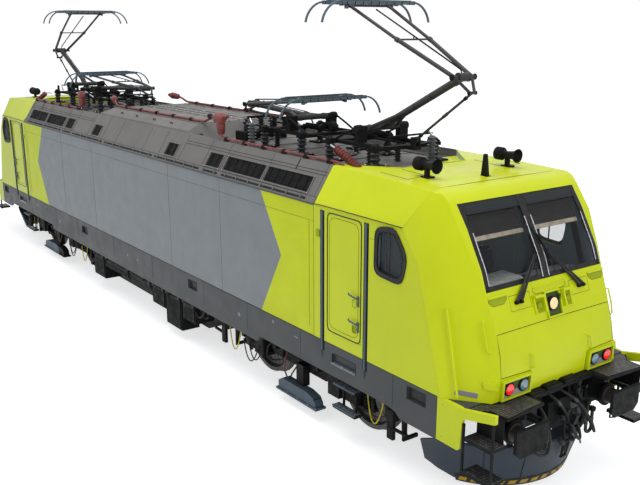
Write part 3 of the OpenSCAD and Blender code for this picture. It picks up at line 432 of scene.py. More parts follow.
SLOT_OF = {s["node"]: s["material_slot"] for s in frame["record"]["subparts"]}
for name, node in NODES.items():
    node.data.materials.clear()
    node.data.materials.append(MAT[SLOT_OF[name]])

# ---------------------------------------------------------------- mesh kit

SHARP = math.radians(42)
AHEAD, BACK, LEFT, UP = (1, 0, 0), (-1, 0, 0), (0, 1, 0), (0, 0, 1)
BLACK = "black_metal"
SEAL = "rubber_black"
GROOVE = "groove_grey"
BOLT = "steel_dark"
BOGIE = "bogie_paint"
BLUE_GREY = "blue_grey_paint"
HOSE = "hose_rubber"
PAN_TUBE = "pantograph_tube"
STRIP = "contact_strip"
MATERIALS = {**MAT, **EXTRA}


def rect(a0, a1, b0, b1):
    """Corners of a rectangle."""
    return [(a0, b0), (a1, b0), (a1, b1), (a0, b1)]


def spread(outline, axis, at):
    """The outline as points in space, in the plane that lies at a distance along an axis."""
    return [(*p[:axis], at, *p[axis:]) for p in outline]


def circle(a, b, r, steps, phase=0.0):
    """Points of a circle about (a, b)."""
    turns = (2 * math.pi * (k + phase) / steps for k in range(steps))
    return [(a + r * math.cos(t), b + r * math.sin(t)) for t in turns]


class Kit:
    """Builds one mesh out of bevelled boxes, plates, tubes and turned shapes, on one body.

    Heights are above the rail head. Everything drawn can be copied to the other side and end.
    """

    def __init__(self):
        self.bm = bmesh.new()
        self.slots = []

    def slot(self, name):
        if name not in self.slots:
            self.slots.append(name)
        return self.slots.index(name)

    def face(self, verts, slot):
        try:
            self.bm.faces.new(verts).material_index = slot
        except ValueError:
            pass

    def solid(self, bottom, top, mat):
        """A prism between two outlines of the same number of points."""
        slot = self.slot(mat)
        low = [self.bm.verts.new(p) for p in bottom]
        high = [self.bm.verts.new(p) for p in top]
        n = len(low)
        self.face(low[::-1], slot)
        self.face(high, slot)
        for i in range(n):
            j = (i + 1) % n
            self.face([low[i], low[j], high[j], high[i]], slot)

    def plate(self, outline, axis, start, end, mat):
        """A plate on an outline in the plane across an axis, from start to end along it."""
        self.solid(spread(outline, axis, start), spread(outline, axis, end), mat)

    def box(self, low, high, mat):
        self.plate(rect(low[0], high[0], low[1], high[1]), 2, low[2], high[2], mat)

    def lay(self, surface, corners, low, high, mat):
        """A plate over surface(u, v, out), which gives a point standing off it by out."""
        self.solid([surface(*c, low) for c in corners], [surface(*c, high) for c in corners], mat)

    def slab(self, corners, depth, mat):
        """A plate on any outline of points in space, thickened by the vector depth."""
        depth = Vector(depth)
        self.solid(corners, [Vector(p) + depth for p in corners], mat)

    def tube(self, path, r, mat, sides=10, closed=False):
        """A round bar along a path. r is one radius, or one for each point."""
        path = [Vector(p) for p in path]
        n = len(path)
        radii = r if isinstance(r, (list, tuple)) else [r] * n
        slot = self.slot(mat)
        rings = []
        normal = None
        for i, p in enumerate(path):
            before = path[i - 1] if i or closed else p
            after = path[(i + 1) % n] if i < n - 1 or closed else p
            ahead = (after - before).normalized()
            if normal is None:
                normal = ahead.orthogonal().normalized()
            normal = (normal - ahead * normal.dot(ahead)).normalized()
            side = ahead.cross(normal)
            turns = (2 * math.pi * k / sides for k in range(sides))
            points = [p + radii[i] * (math.cos(a) * normal + math.sin(a) * side) for a in turns]
            rings.append([self.bm.verts.new(point) for point in points])
        for i in range(n if closed else n - 1):
            a, b = rings[i], rings[(i + 1) % n]
            for k in range(sides):
                m = (k + 1) % sides
                self.face([a[k], a[m], b[m], b[k]], slot)
        if not closed:
            self.face(rings[0][::-1], slot)
            self.face(rings[-1], slot)

    def turned(self, at, axis, profile, mat, sides=20):
        """A turned shape: profile is pairs of distance along axis and radius."""
        axis = Vector(axis).normalized()
        u = axis.orthogonal().normalized()
        v = axis.cross(u)
        slot = self.slot(mat)
        rings = [[self.bm.verts.new(Vector(at) + d * axis + r * (math.cos(a) * u + math.sin(a) * v))
                  for a in (2 * math.pi * k / sides for k in range(sides))] for d, r in profile]
        for a, b in zip(rings, rings[1:]):
            for k in range(sides):
                m = (k + 1) % sides
                self.face([a[k], a[m], b[m], b[k]], slot)
        self.face(rings[0][::-1], slot)
        self.face(rings[-1], slot)

    def coil(self, at, r, height, turns, wire, mat, sides=6, steps=14):
        """A coil spring standing on at."""
        x, y, z = at
        n = int(turns * steps)
        self.tube([(x + r * math.cos(2 * math.pi * k / steps),
                    y + r * math.sin(2 * math.pi * k / steps), z + height * k / n)
                   for k in range(n + 1)], wire, mat, sides)

    def loop(self, outline, axis, at, r, mat, sides=6):
        """A closed thin bead round an outline in the plane across an axis."""
        self.tube(spread(outline, axis, at), r, mat, sides, closed=True)

    def mirrored(self, *axes):
        """Adds a copy of everything drawn so far, mirrored in x (0) or y (1), for each axis."""
        bm = self.bm
        for axis in axes:
            geom = bm.verts[:] + bm.edges[:] + bm.faces[:]
            copy = bmesh.ops.duplicate(bm, geom=geom)["geom"]
            for vert in (g for g in copy if isinstance(g, bmesh.types.BMVert)):
                vert.co[axis] *= -1
            bmesh.ops.reverse_faces(bm,
                                    faces=[g for g in copy if isinstance(g, bmesh.types.BMFace)])

    def build(self, name, body="body", bevel=0.003, replaces=(), matrix=None):
        bm = self.bm
        if matrix:
            bm.transform(matrix)
        for vert in bm.verts:
            vert.co.z += FLANGE
        bmesh.ops.recalc_face_normals(bm, faces=bm.faces[:])
        return dress(bm, name, body, bevel, self.slots, replaces)


def link_mesh(bm, name, slots):
    """Makes an object of bm, with a material for each of its slots."""
    mesh = bpy.data.meshes.new(name)
    bm.to_mesh(mesh)
    bm.free()
    for slot in slots:
        mesh.materials.append(MATERIALS[slot])
    piece = bpy.data.objects.new(name, mesh)
    bpy.context.scene.collection.objects.link(piece)
    return piece


def dress(bm, name, body, bevel, slots, replaces=()):
    """Makes an object of bm with smooth shading, sharp edges, a bevel and its materials.
    """
    for f in bm.faces:
        f.smooth = True
    for e in bm.edges:
        if len(e.link_faces) == 2 and e.calc_face_angle(0) > SHARP:
            e.smooth = False
    piece = link_mesh(bm, name, slots)
    if bevel:
        mod = piece.modifiers.new("edges", "BEVEL")
        mod.width = bevel
        mod.segments = 1
        mod.limit_method = "ANGLE"
        mod.angle_limit = math.radians(50)
        mod.use_clamp_overlap = True
    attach(piece, body)
    if replaces:
        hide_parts(*replaces)
    return piece


BODY_OF = {name: node["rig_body"] for name, node in NODES.items()}


def crisp(node, bevel=0.005, pick=None):
    """Stands in for a CAD node with a copy whose edges are rounded and faces are merged.

    pick(middle, normal) names another material for a face, or gives None.
    """
    bm = bmesh.new()
    bm.from_mesh(NODES[node].data)
    bmesh.ops.remove_doubles(bm, verts=bm.verts[:], dist=0.00005)
    bmesh.ops.dissolve_limit(bm, angle_limit=math.radians(1), verts=bm.verts[:], edges=bm.edges[:])
    slots = [SLOT_OF[node]]
    for f in bm.faces:
        name = (pick and pick(f.calc_center_median(), f.normal)) or slots[0]
        if name not in slots:
            slots.append(name)
        f.material_index = slots.index(name)
    return dress(bm, node + "_finish", BODY_OF[node], bevel, slots, [node])

# ---------------------------------------------------------------- nose

HALF_W = 1.489
NOSE = [(1.353, 9.045), (1.7, 9.07), (1.96, 9.03), (2.33, 8.915), (2.64, 8.785),
        (2.89, 8.69), (3.335, 8.435), (3.6, 8.245), (3.69, 8.15), (3.72, 8.0)]


FACETS = ((Vector((0.601, 0.778, 0.183)), Vector((8.585, HALF_W, 1.45))),
          (Vector((0.462, 0.815, 0.35)), Vector((8.131, HALF_W, 2.938))))


def nose(y, z, out=0.0):
    """A point on the nose's front or corner facet at (y, z), standing off it by out."""
    for (z0, x0), (z1, x1) in zip(NOSE, NOSE[1:]):
        if z <= z1:
            break
    run = Vector((x1 - x0, 0, z1 - z0)).normalized()
    x, normal = x0 + (x1 - x0) * (z - z0) / (z1 - z0), Vector((run.z, 0, -run.x))
    for n, p in FACETS:
        across = p.x - (n.y * (abs(y) - p.y) + n.z * (z - p.z)) / n.x
        if across < x:
            x, normal = across, Vector((n.x, math.copysign(n.y, y), n.z)).normalized()
    return Vector((x, y, z)) + out * normal


def patch(kit, y0, y1, z0, z1, out, thick, mat, steps=6):
    """A plate that follows the nose between two widths and two heights."""
    zs = [z0 + (z1 - z0) * k / steps for k in range(steps + 1)]
    for a, b in zip(zs, zs[1:]):
        kit.lay(nose, rect(y0, y1, a, b), out, out + thick, mat)


def line(kit, points, mat="groove", r=0.0045, out=0.0):
    """A thin groove drawn over the nose through (y, z) points."""
    path = []
    for (y0, z0), (y1, z1) in zip(points, points[1:]):
        n = max(1, int(abs(z1 - z0) / 0.12))
        path += [nose(y0 + (y1 - y0) * k / n, z0 + (z1 - z0) * k / n, out) for k in range(n)]
    path.append(nose(*points[-1], out))
    kit.tube(path, r, mat, 4)


SCREEN = (2.655, 3.58)     # lower and upper edge of the windscreen
GLASS = -0.02              # face of the glass behind the nose's skin


def windscreen(kit):
    """Rubber frame, dark header, centre pillar, edge strips and blinds of one windscreen's half."""
    low, top = SCREEN
    patch(kit, 0.965, 1.034, low, top, GLASS - 0.002, 0.018, SEAL, 10)
    patch(kit, 0.0, 1.034, low, low + 0.055, GLASS - 0.002, 0.018, SEAL, 2)
    patch(kit, 0.0, 1.034, top - 0.115, top, GLASS - 0.002, 0.016, SEAL, 3)
    patch(kit, 0.08, 0.93, top - 0.1, top - 0.02, GLASS + 0.013, 0.004, "header_panel", 2)
    patch(kit, 0.0, 0.055, low, top, GLASS - 0.001, 0.022, SEAL, 12)
    # Bright strips beside the pillar and at the outer edges
    patch(kit, 0.05, 0.062, low + 0.02, 3.35, GLASS + 0.018, 0.006, "chrome", 8)
    patch(kit, 0.962, 0.974, low + 0.06, 3.28, GLASS + 0.016, 0.006, "chrome", 8)
    # Roller blind with its pale hem, behind the glass
    patch(kit, 0.07, 0.95, 3.245, 3.5, GLASS - 0.062, 0.008, "blind_dark", 3)
    patch(kit, 0.07, 0.95, 3.2, 3.247, GLASS - 0.067, 0.014, "blind", 1)
    patch(kit, 0.07, 0.95, 3.44, 3.53, GLASS - 0.11, 0.06, "blind_dark", 1)


def wiper(kit, foot_y, top_y, lean):
    """Twin-arm wiper from its foot below the glass, with the blade up the glass."""
    for gap in (0.0, 0.075):
        a = nose(foot_y + gap, 2.485, 0.03)
        b = nose(top_y + gap * 0.35, 2.94, 0.028)
        kit.tube([a, a.lerp(b, 0.35), b], [0.02, 0.014, 0.009], SEAL, 8)
        kit.turned(nose(foot_y + gap, 2.48, -0.005), (1, 0, 0.3),
                   [(0, 0.022), (0.03, 0.026), (0.055, 0.02)], BLACK, 12)
    kit.tube([nose(top_y, 2.94, 0.028), nose(top_y + 0.03, 2.94, 0.028)], 0.012, BLACK, 8)
    blade = [nose(top_y + lean * (z - 2.94), z, 0.006) for z in (2.7, 2.85, 3.0, 3.15, 3.28)]
    kit.tube(blade, 0.008, SEAL, 6)
    kit.tube([p + Vector((0.018, 0, 0.008)) for p in blade[1:4]], 0.01, BLACK, 6)


def hook(kit, y, z0, z1, out=0.055, mat="yellow", r=0.011):
    """A grab handle on the nose with turned-in ends."""
    zs = (z0, z0 + 0.02, (z0 + z1) / 2, z1 - 0.02, z1)
    outs = (-0.004, out, out + 0.01, out, -0.004)
    kit.tube([nose(y, z, o) for z, o in zip(zs, outs)], r, mat, 8)
    for z in (z0, z1):
        kit.turned(nose(y, z, -0.002), (1, 0, 0.2), [(0, 0.024), (0.01, 0.022), (0.016, 0.014)],
                   mat, 10)


def nose_half(kit):
    """Everything that both halves of the nose share, drawn for +y."""
    windscreen(kit)
    # Hatch outline: down the side, in over the lamps and down again, and along the foot
    line(kit, [(0.0, 2.205), (1.018, 2.198), (1.03, 1.71), (0.52, 1.695), (0.52, 1.425),
               (0.0, 1.425)])
    # Lamp cluster: a recess in a raised frame, its back a dark olive plate as painted shade, a red
    # lamp outside and a white one inside
    y0, y1, z0, z1 = 0.56, 1.0, 1.462, 1.658
    patch(kit, y0, y1, z0, z1, 0.006, 0.012, "recess_painted_shade", 1)
    for a, b, c, d in ((y0 - 0.03, y1 + 0.03, z1, z1 + 0.026),
                       (y0 - 0.03, y1 + 0.03, z0 - 0.026, z0), (y0 - 0.03, y0, z0, z1),
                       (y1, y1 + 0.03, z0, z1)):
        patch(kit, a, b, c, d, -0.004, 0.05, "yellow", 1)
    for y, mat in ((0.9, "red_lamp"), (0.66, "blue_lamp")):
        at = nose(y, 1.56, 0.012)
        kit.turned(at, AHEAD, [(0, 0.082), (0.022, 0.084), (0.03, 0.074)], BLACK, 24)
        kit.turned(at, AHEAD,
                   [(0.02, 0.07), (0.034, 0.066), (0.046, 0.048), (0.052, 0.022), (0.053, 0.001)],
                   mat, 24)
    # Small box beside the cluster
    patch(kit, 1.085, 1.17, 1.585, 1.665, -0.004, 0.04, "yellow", 1)
    # Wiper base plate, grab pocket and its lip
    line(kit, [(0.36, 2.56), (0.71, 2.56), (0.71, 2.395), (0.36, 2.395), (0.36, 2.56)], r=0.003)
    pocket = [(0.735, 2.59), (1.04, 2.59), (1.036, 2.545), (0.985, 2.5), (0.8, 2.5), (0.745, 2.545)]
    # The pocket's fill is the darker yellow, as painted shade in the pocket
    kit.lay(nose, pocket, -0.003, 0.0025, "yellow_painted_shade")
    line(kit, pocket + pocket[:1], r=0.004)
    kit.tube([nose(0.735, 2.588, 0.01), nose(1.045, 2.588, 0.01)], 0.011, "yellow", 6)
    # Hatch hooks, corner grab handle and the two brackets beside the headlamp
    hook(kit, 0.53, 1.72, 1.9)
    hook(kit, 1.1, 1.99, 2.33)
    patch(kit, 0.168, 0.34, 2.465, 2.495, -0.002, 0.075, "yellow", 1)
    patch(kit, 0.168, 0.195, 2.3, 2.465, -0.002, 0.06, "yellow", 1)
    patch(kit, 0.313, 0.34, 2.3, 2.465, -0.002, 0.03, "yellow", 1)
    # The bracket's inner fill and its boss are the darker yellow, as painted shade
    patch(kit, 0.195, 0.313, 2.3, 2.465, -0.002, 0.005, "yellow_painted_shade", 1)
    kit.turned(nose(0.254, 2.385, -0.01), (1, 0, 0.35), [(0, 0.042), (0.03, 0.04), (0.045, 0.028)],
               "yellow_painted_shade", 14)
    # Headlamp's frame, and the hooded panel over it
    patch(kit, 0.118, 0.14, 2.225, 2.505, -0.004, 0.03, "yellow", 2)
    patch(kit, 0.0, 0.14, 2.21, 2.232, -0.004, 0.03, "yellow", 1)
    patch(kit, 0.0, 0.14, 2.49, 2.512, -0.004, 0.034, "yellow", 1)
    # The recess inside the frame is a dark olive sheet, as painted shade
    patch(kit, 0.0, 0.118, 2.232, 2.49, -0.002, 0.006, "recess_painted_shade", 2)
    line(kit, [(0.0, 2.58), (0.29, 2.58), (0.3, 2.545), (0.255, 2.512), (0.0, 2.505)], r=0.0035)
    kit.tube([nose(0.0, 2.582, 0.006), nose(0.292, 2.582, 0.006)], 0.01, "yellow", 6)


def headlamp(kit):
    at = nose(0.0, 2.375, 0.0) + Vector((0, -0.03, 0))
    kit.turned(at, (1, 0, 0.15), [(0.0, 0.082), (0.03, 0.086), (0.045, 0.078)], BLACK, 28)
    kit.turned(at, (1, 0, 0.15),
               [(0.03, 0.074), (0.048, 0.07), (0.062, 0.05), (0.069, 0.02), (0.07, 0.001)],
               "warm_lamp", 28)
    # A dark olive block beside the lamp, as painted shade in its recess
    kit.box((8.885, 0.085, 2.26), (8.925, 0.11, 2.47), "recess_painted_shade")


def corner(kit):
    """The blank label beside the foot of the corner handrail, on +y."""
    facet, start = FACETS[0]

    def on(x, z, out):
        y = start.y - (facet.x * (x - start.x) + facet.z * (z - start.z)) / facet.y
        return Vector((x, y, z)) + out * facet
    a, b = on(8.91, 1.468, 0.003), on(8.7, 1.49, 0.003)
    up = Vector((0.0, -0.02, 0.055))
    kit.slab([a, b, b + up, a + up], facet * 0.004, "plate_grey")


def build_nose():
    kit = Kit()
    nose_half(kit)
    corner(kit)
    kit.mirrored(1)
    headlamp(kit)
    wiper(kit, -0.615, -0.13, 0.1)
    wiper(kit, 0.515, 0.085, -0.35)
    # Fin aerial on the roof
    for low, z0, high, z1 in (((7.62, 7.8, -0.06, 0.06), 3.72, (7.66, 7.77, -0.04, 0.04), 3.735),
                              ((7.665, 7.755, -0.032, 0.032), 3.73, (7.68, 7.725, -0.018, 0.018),
                               4.005)):
        kit.solid(spread(rect(*low), 2, z0), spread(rect(*high), 2, z1), BLACK)
    kit.mirrored(0)
    kit.build("nose_details")


build_nose()

# ---------------------------------------------------------------- cab sides and doors

WINDOW = [(7.381, 2.651), (7.852, 2.616), (7.926, 2.951), (7.72, 3.246), (7.393, 3.194)]


def soften(points, r, steps=3):
    """Rounds an outline's corners."""
    out = []
    n = len(points)
    for i, p in enumerate(points):
        p = Vector(p)
        a = (Vector(points[i - 1]) - p).normalized() * r + p
        b = (Vector(points[(i + 1) % n]) - p).normalized() * r + p
        for k in range(steps + 1):
            t = k / steps
            out.append(((1 - t) ** 2 * a + 2 * t * (1 - t) * p + t * t * b).to_tuple())
    return out


def ring(kit, outer, inner, y0, y1, mat):
    """A flat frame in the xz plane between two outlines of equal length, from y0 to y1."""
    n = len(outer)
    for i in range(n):
        j = (i + 1) % n
        kit.plate([outer[i], outer[j], inner[j], inner[i]], 1, y0, y1, mat)


def scaled(points, gap):
    """The outline moved inwards by about gap."""
    cx = sum(p[0] for p in points) / len(points)
    cz = sum(p[1] for p in points) / len(points)
    out = []
    for x, z in points:
        d = Vector((x - cx, z - cz))
        d *= 1 - gap / d.length
        out.append((cx + d.x, cz + d.y))
    return out


def cab_side(kit):
    """One side of a cab, drawn for +y."""
    w = HALF_W
    outer = soften(scaled(WINDOW, -0.035), 0.12)
    inner = soften(scaled(WINDOW, 0.045), 0.1)
    ring(kit, outer, inner, w - 0.012, w + 0.01, SEAL)
    kit.loop(soften(scaled(WINDOW, -0.03), 0.12), 1, w + 0.01, 0.008, SEAL)
    kit.loop(soften(scaled(WINDOW, 0.04), 0.1), 1, w + 0.01, 0.005, BLACK)
    # Sliding pane's rail inside the window
    kit.box((7.6, w - 0.03, 2.66), (7.618, w - 0.016, 3.21), SEAL)
    # Drip rail over the door and the window
    kit.tube([(6.1, w + 0.004, 3.285), (6.3, w + 0.012, 3.297), (7.859, w + 0.012, 3.297)], 0.007,
             SEAL, 6)
    # Rubber seal round the door opening, with rounded lower corners
    door = soften(rect(6.396, 7.102, 1.605, 3.223), 0.09)
    kit.loop(door, 1, w + 0.001, 0.008, SEAL)
    # Handrail channels lined in black, and their end pads
    for x in (6.28, 7.198):
        kit.box((x - 0.043, w - 0.039, 1.286), (x + 0.043, w - 0.034, 3.229), SEAL)
        for side in (-1, 1):
            kit.box((x + side * 0.043 - 0.003, w - 0.039, 1.286),
                    (x + side * 0.043 + 0.003, w + 0.003, 3.229), SEAL)
        for z in (1.31, 3.2):
            kit.turned((x, w - 0.034, z), LEFT, [(0, 0.036), (0.012, 0.034), (0.016, 0.02)],
                       BLUE_GREY, 12)
            for dx, dz in ((-0.022, 0.018), (0.022, 0.018), (-0.022, -0.018), (0.022, -0.018)):
                kit.turned((x + dx, w - 0.026, z + dz), LEFT, [(0, 0.006), (0.008, 0.005)],
                           "chrome", 6)
        # The channel runs out in a dark wedge in the sole bar
        feet = (0.008, w - 0.004), (0.006, w + 0.0015)
        kit.solid(*[[(x - 0.043, y, 1.288), (x + 0.043, y, 1.288), (x + half, y, 1.16),
                     (x - half, y, 1.16)] for half, y in feet], SEAL)
    # Latch box by the front of the machine room, panel seams, and the crease below the roof
    # The latch box is the darker yellow, as painted shade
    kit.box((6.15, w - 0.002, 2.86), (6.225, w + 0.014, 2.96), "yellow_painted_shade")
    kit.tube([(6.085, w, 1.43), (6.085, w, 3.28)], 0.0035, "groove", 4)
    kit.tube([(7.34, w, 3.05), (7.26, w, 3.05)], 0.003, "groove", 4)
    # Recessed door step with its chequer tread and rim
    kit.box((6.505, w - 0.049, 1.15), (7.005, w - 0.041, 1.298), SEAL)
    kit.box((6.503, w - 0.04, 1.146), (7.007, w + 0.016, 1.17), "chequer_grey")
    for k in range(8):
        x = 6.53 + k * 0.063
        kit.tube([(x, w - 0.02, 1.173), (x + 0.03, w + 0.012, 1.173)], 0.005, "chrome", 6)
    kit.loop(soften(rect(6.5, 7.01, 1.144, 1.302), 0.04), 1, w + 0.001, 0.006, SEAL)
    # Hanging steps: chequer treads with a rolled front edge
    for x, y, z, length in ((6.49, 1.449, 0.855, 0.46), (6.4, 1.399, 0.485, 0.49)):
        kit.box((x + 0.004, 1.284, z), (x + length - 0.004, y - 0.002, z + 0.006), "chequer_grey")
        kit.tube([(x, y + 0.002, z - 0.006), (x + length, y + 0.002, z - 0.006)], 0.014, BLUE_GREY,
                 8)
        for k in range(7):
            u = x + 0.04 + k * (length - 0.08) / 6
            kit.tube([(u - 0.012, 1.294, z + 0.008), (u + 0.012, y - 0.02, z + 0.008)], 0.004,
                     "chrome", 5)
    # Black shadow gap between the side and the sole bar
    kit.tube([(6.1, w, 1.424), (8.53, w, 1.424)], 0.005, GROOVE, 4)
    # Jacking pocket with a sloped inner face
    kit.solid(spread(rect(8.012, 8.338, 1.204, 1.366), 1, w - 0.038),
              spread(rect(8.09, 8.325, 1.225, 1.35), 1, w - 0.034), SEAL)
    kit.loop(soften(rect(8.01, 8.34, 1.2, 1.37), 0.02), 1, w, 0.005, SEAL, 4)
    # Corner ladder's chequer treads
    for z in (0.653, 1.073):
        kit.box((8.957, w - 0.258, z), (9.37, w - 0.015, z + 0.006), "chequer_black")
    # Bolt heads on the skirt's arm, in the darker yellow as painted shade
    for x, z in ((8.62, 1.36), (8.62, 0.95), (8.84, 0.95)):
        kit.turned((x, w - 0.001, z), LEFT, [(0, 0.009), (0.005, 0.007)], "yellow_painted_shade", 6)


def build_cab_sides():
    kit = Kit()
    cab_side(kit)
    kit.mirrored(1, 0)
    kit.build("cab_side_details", bevel=0.002)


def door_details(kit):
    """Outline, cup rims and handle fittings of a door's leaf, for +x and +y."""
    w = HALF_W
    inner = soften(rect(6.44, 7.05, 1.66, 3.175), 0.12)
    kit.loop(inner, 1, w, 0.0035, "groove", 4)
    for z in (2.2, 1.85):
        x = 7.055
        kit.turned((x, w + 0.01, z + 0.025), LEFT, [(0, 0.024), (0.008, 0.022), (0.014, 0.016)],
                   BLUE_GREY, 14)
        kit.turned((x, w + 0.01, z - 0.055), LEFT, [(0, 0.017), (0.008, 0.016), (0.01, 0.008)],
                   BLUE_GREY, 12)
        kit.tube([(x - 0.115, w + 0.04, z + 0.037), (x - 0.145, w + 0.041, z + 0.044),
                  (x - 0.16, w + 0.042, z + 0.066)], [0.013, 0.012, 0.01], BLUE_GREY, 8)
        cup = soften(rect(6.935, 7.015, z - 0.12, z - 0.02), 0.02)
        # The cup rims are the darker yellow, as painted shade
        kit.loop(cup, 1, w, 0.006, "yellow_painted_shade", 5)
    # The lower cup's back is the darker yellow, as painted shade
    kit.box((6.937, w - 0.0115, 1.733), (7.013, w - 0.009, 1.827), "yellow_painted_shade")


def door_finish(c, n):
    """Blue-grey handles outside and lining inside, its colour lightened as painted light."""
    if abs(c.y) > HALF_W + 0.0005:
        return BLUE_GREY
    return "cab_lining" if abs(c.y) < HALF_W - 0.03 and n.y * c.y < 0 else None


def build_doors():
    for ex, end in ((1, "front"), (-1, "rear")):
        for sy, side in ((1, "left"), (-1, "right")):
            name = f"door_{end}_{side}"
            kit = Kit()
            door_details(kit)
            kit.build(name + "_fittings", name, 0.002,
                      matrix=Matrix.Diagonal((ex, sy, 1, 1)))
            crisp(name, 0.004, door_finish)


build_cab_sides()
build_doors()

# ---------------------------------------------------------------- roof

CANTRAIL = 3.28
CROWN = (1.17, 3.77)
SLOPE = Vector((0, CROWN[0] - HALF_W, CROWN[1] - CANTRAIL)).normalized()
OUT = Vector((0, SLOPE.z, -SLOPE.y))


def slope(x, up, out=0.0):
    """A point on the roof slope, up along it from the cantrail and standing off it by out."""
    return Vector((x, HALF_W, CANTRAIL)) + up * SLOPE + out * OUT


def slope_box(kit, x0, x1, up0, up1, out0, out1, mat):
    kit.lay(slope, rect(x0, x1, up0, up1), out0, out1, mat)


def build_roof_sides():
    kit = Kit()
    for centre, length in ((5.28, 1.12), (4.11, 1.1), (3.215, 0.43), (1.69, 0.38)):
        x0, x1 = centre - length / 2, centre + length / 2
        # Louvres behind a raised frame
        n = 7
        for k in range(n):
            up = 0.142 + k * 0.206 / n
            kit.solid([slope(x0 + 0.01, up, -0.022), slope(x1 - 0.01, up, -0.022),
                       slope(x1 - 0.01, up + 0.005, -0.02), slope(x0 + 0.01, up + 0.005, -0.02)],
                      [slope(x0 + 0.01, up + 0.02, -0.003), slope(x1 - 0.01, up + 0.02, -0.003),
                       slope(x1 - 0.01, up + 0.025, -0.003), slope(x0 + 0.01, up + 0.025, -0.003)],
                      "mesh_grille")
        for a, b, c, d in ((x0 - 0.022, x1 + 0.022, 0.108, 0.13),
                           (x0 - 0.022, x1 + 0.022, 0.36, 0.382), (x0 - 0.022, x0, 0.13, 0.36),
                           (x1, x1 + 0.022, 0.13, 0.36)):
            slope_box(kit, a, b, c, d, -0.002, 0.012, "roof_paint")
        for k in range(int(length / 0.18)):
            x = x0 + 0.09 + k * 0.18
            slope_box(kit, x - 0.005, x + 0.005, 0.13, 0.36, -0.004, 0.003, "mesh_grille")
        for x in (x0 - 0.011, x1 + 0.011):
            for up in (0.119, 0.371):
                kit.turned(slope(x, up, 0.011), OUT, [(0, 0.007), (0.005, 0.005)], "chrome", 6)
    # Row of black slots under the grilles, with small brackets between them
    for x0, x1 in ((4.74, 5.86), (3.58, 4.68), (2.98, 3.46), (1.2, 2.85), (0.0, 1.1)):
        slope_box(kit, x0, x1, 0.03, 0.062, -0.002, 0.004, GROOVE)
    for k in range(18):
        x = 0.3 + k * 0.34
        slope_box(kit, x - 0.008, x + 0.008, 0.018, 0.086, 0.0, 0.012, "roof_paint")
    # Long grooves, panel joints and rows of rivets on the slope
    for up in (0.415, 0.462):
        kit.tube([slope(2.07, up), slope(6.07, up)], 0.004, GROOVE, 4)
    kit.tube([slope(0, 0.098), slope(6.07, 0.098)], 0.003, GROOVE, 4)
    for x in (0.62, 1.3, 2.07, 2.9, 3.5, 4.7, 6.02):
        kit.tube([slope(x, 0.1), slope(x, 0.575)], 0.003, GROOVE, 4)
    kit.tube([slope(5.35, 0.415, 0.002), slope(5.35, 0.575, 0.002)], 0.008, GROOVE, 4)
    for k in range(40):
        x = 0.15 + k * 0.15
        kit.turned(slope(x, 0.555, -0.001), OUT, [(0, 0.007), (0.004, 0.004)], "roof_paint", 6)
    # Rain strip along the cantrail
    kit.tube([(0, HALF_W + 0.006, CANTRAIL - 0.004), (6.08, HALF_W + 0.006, CANTRAIL - 0.004)],
             0.011, "sole_bar_paint", 6)
    kit.mirrored(1, 0)
    kit.build("roof_side_details", bevel=0)


PAN_X = (5.69, 3.97)
FEET = ((-0.5, 0.53), 0.55)
HOOD_Z = 3.9
PAN_Z = 4.15        # the lower arms' pivots
LOWER_ARM, UPPER_ARM = 1.745, 2.09
RAISED = 23.4       # angle that the outer pantographs' lower arms are raised by at rest


def cone_bushing(kit, at, axis, length, mat, r=0.085, ribs=9):
    """A ribbed insulator along any axis."""
    profile = [(0, r * 0.55)]
    for k in range(ribs):
        d = length * (k + 0.2) / ribs
        step = length / ribs
        profile += [(d, r * 0.55), (d + step * 0.25, r), (d + step * 0.38, r * 0.98),
                    (d + step * 0.6, r * 0.55)]
    profile.append((length, r * 0.5))
    kit.turned(at, axis, profile, mat, 18)


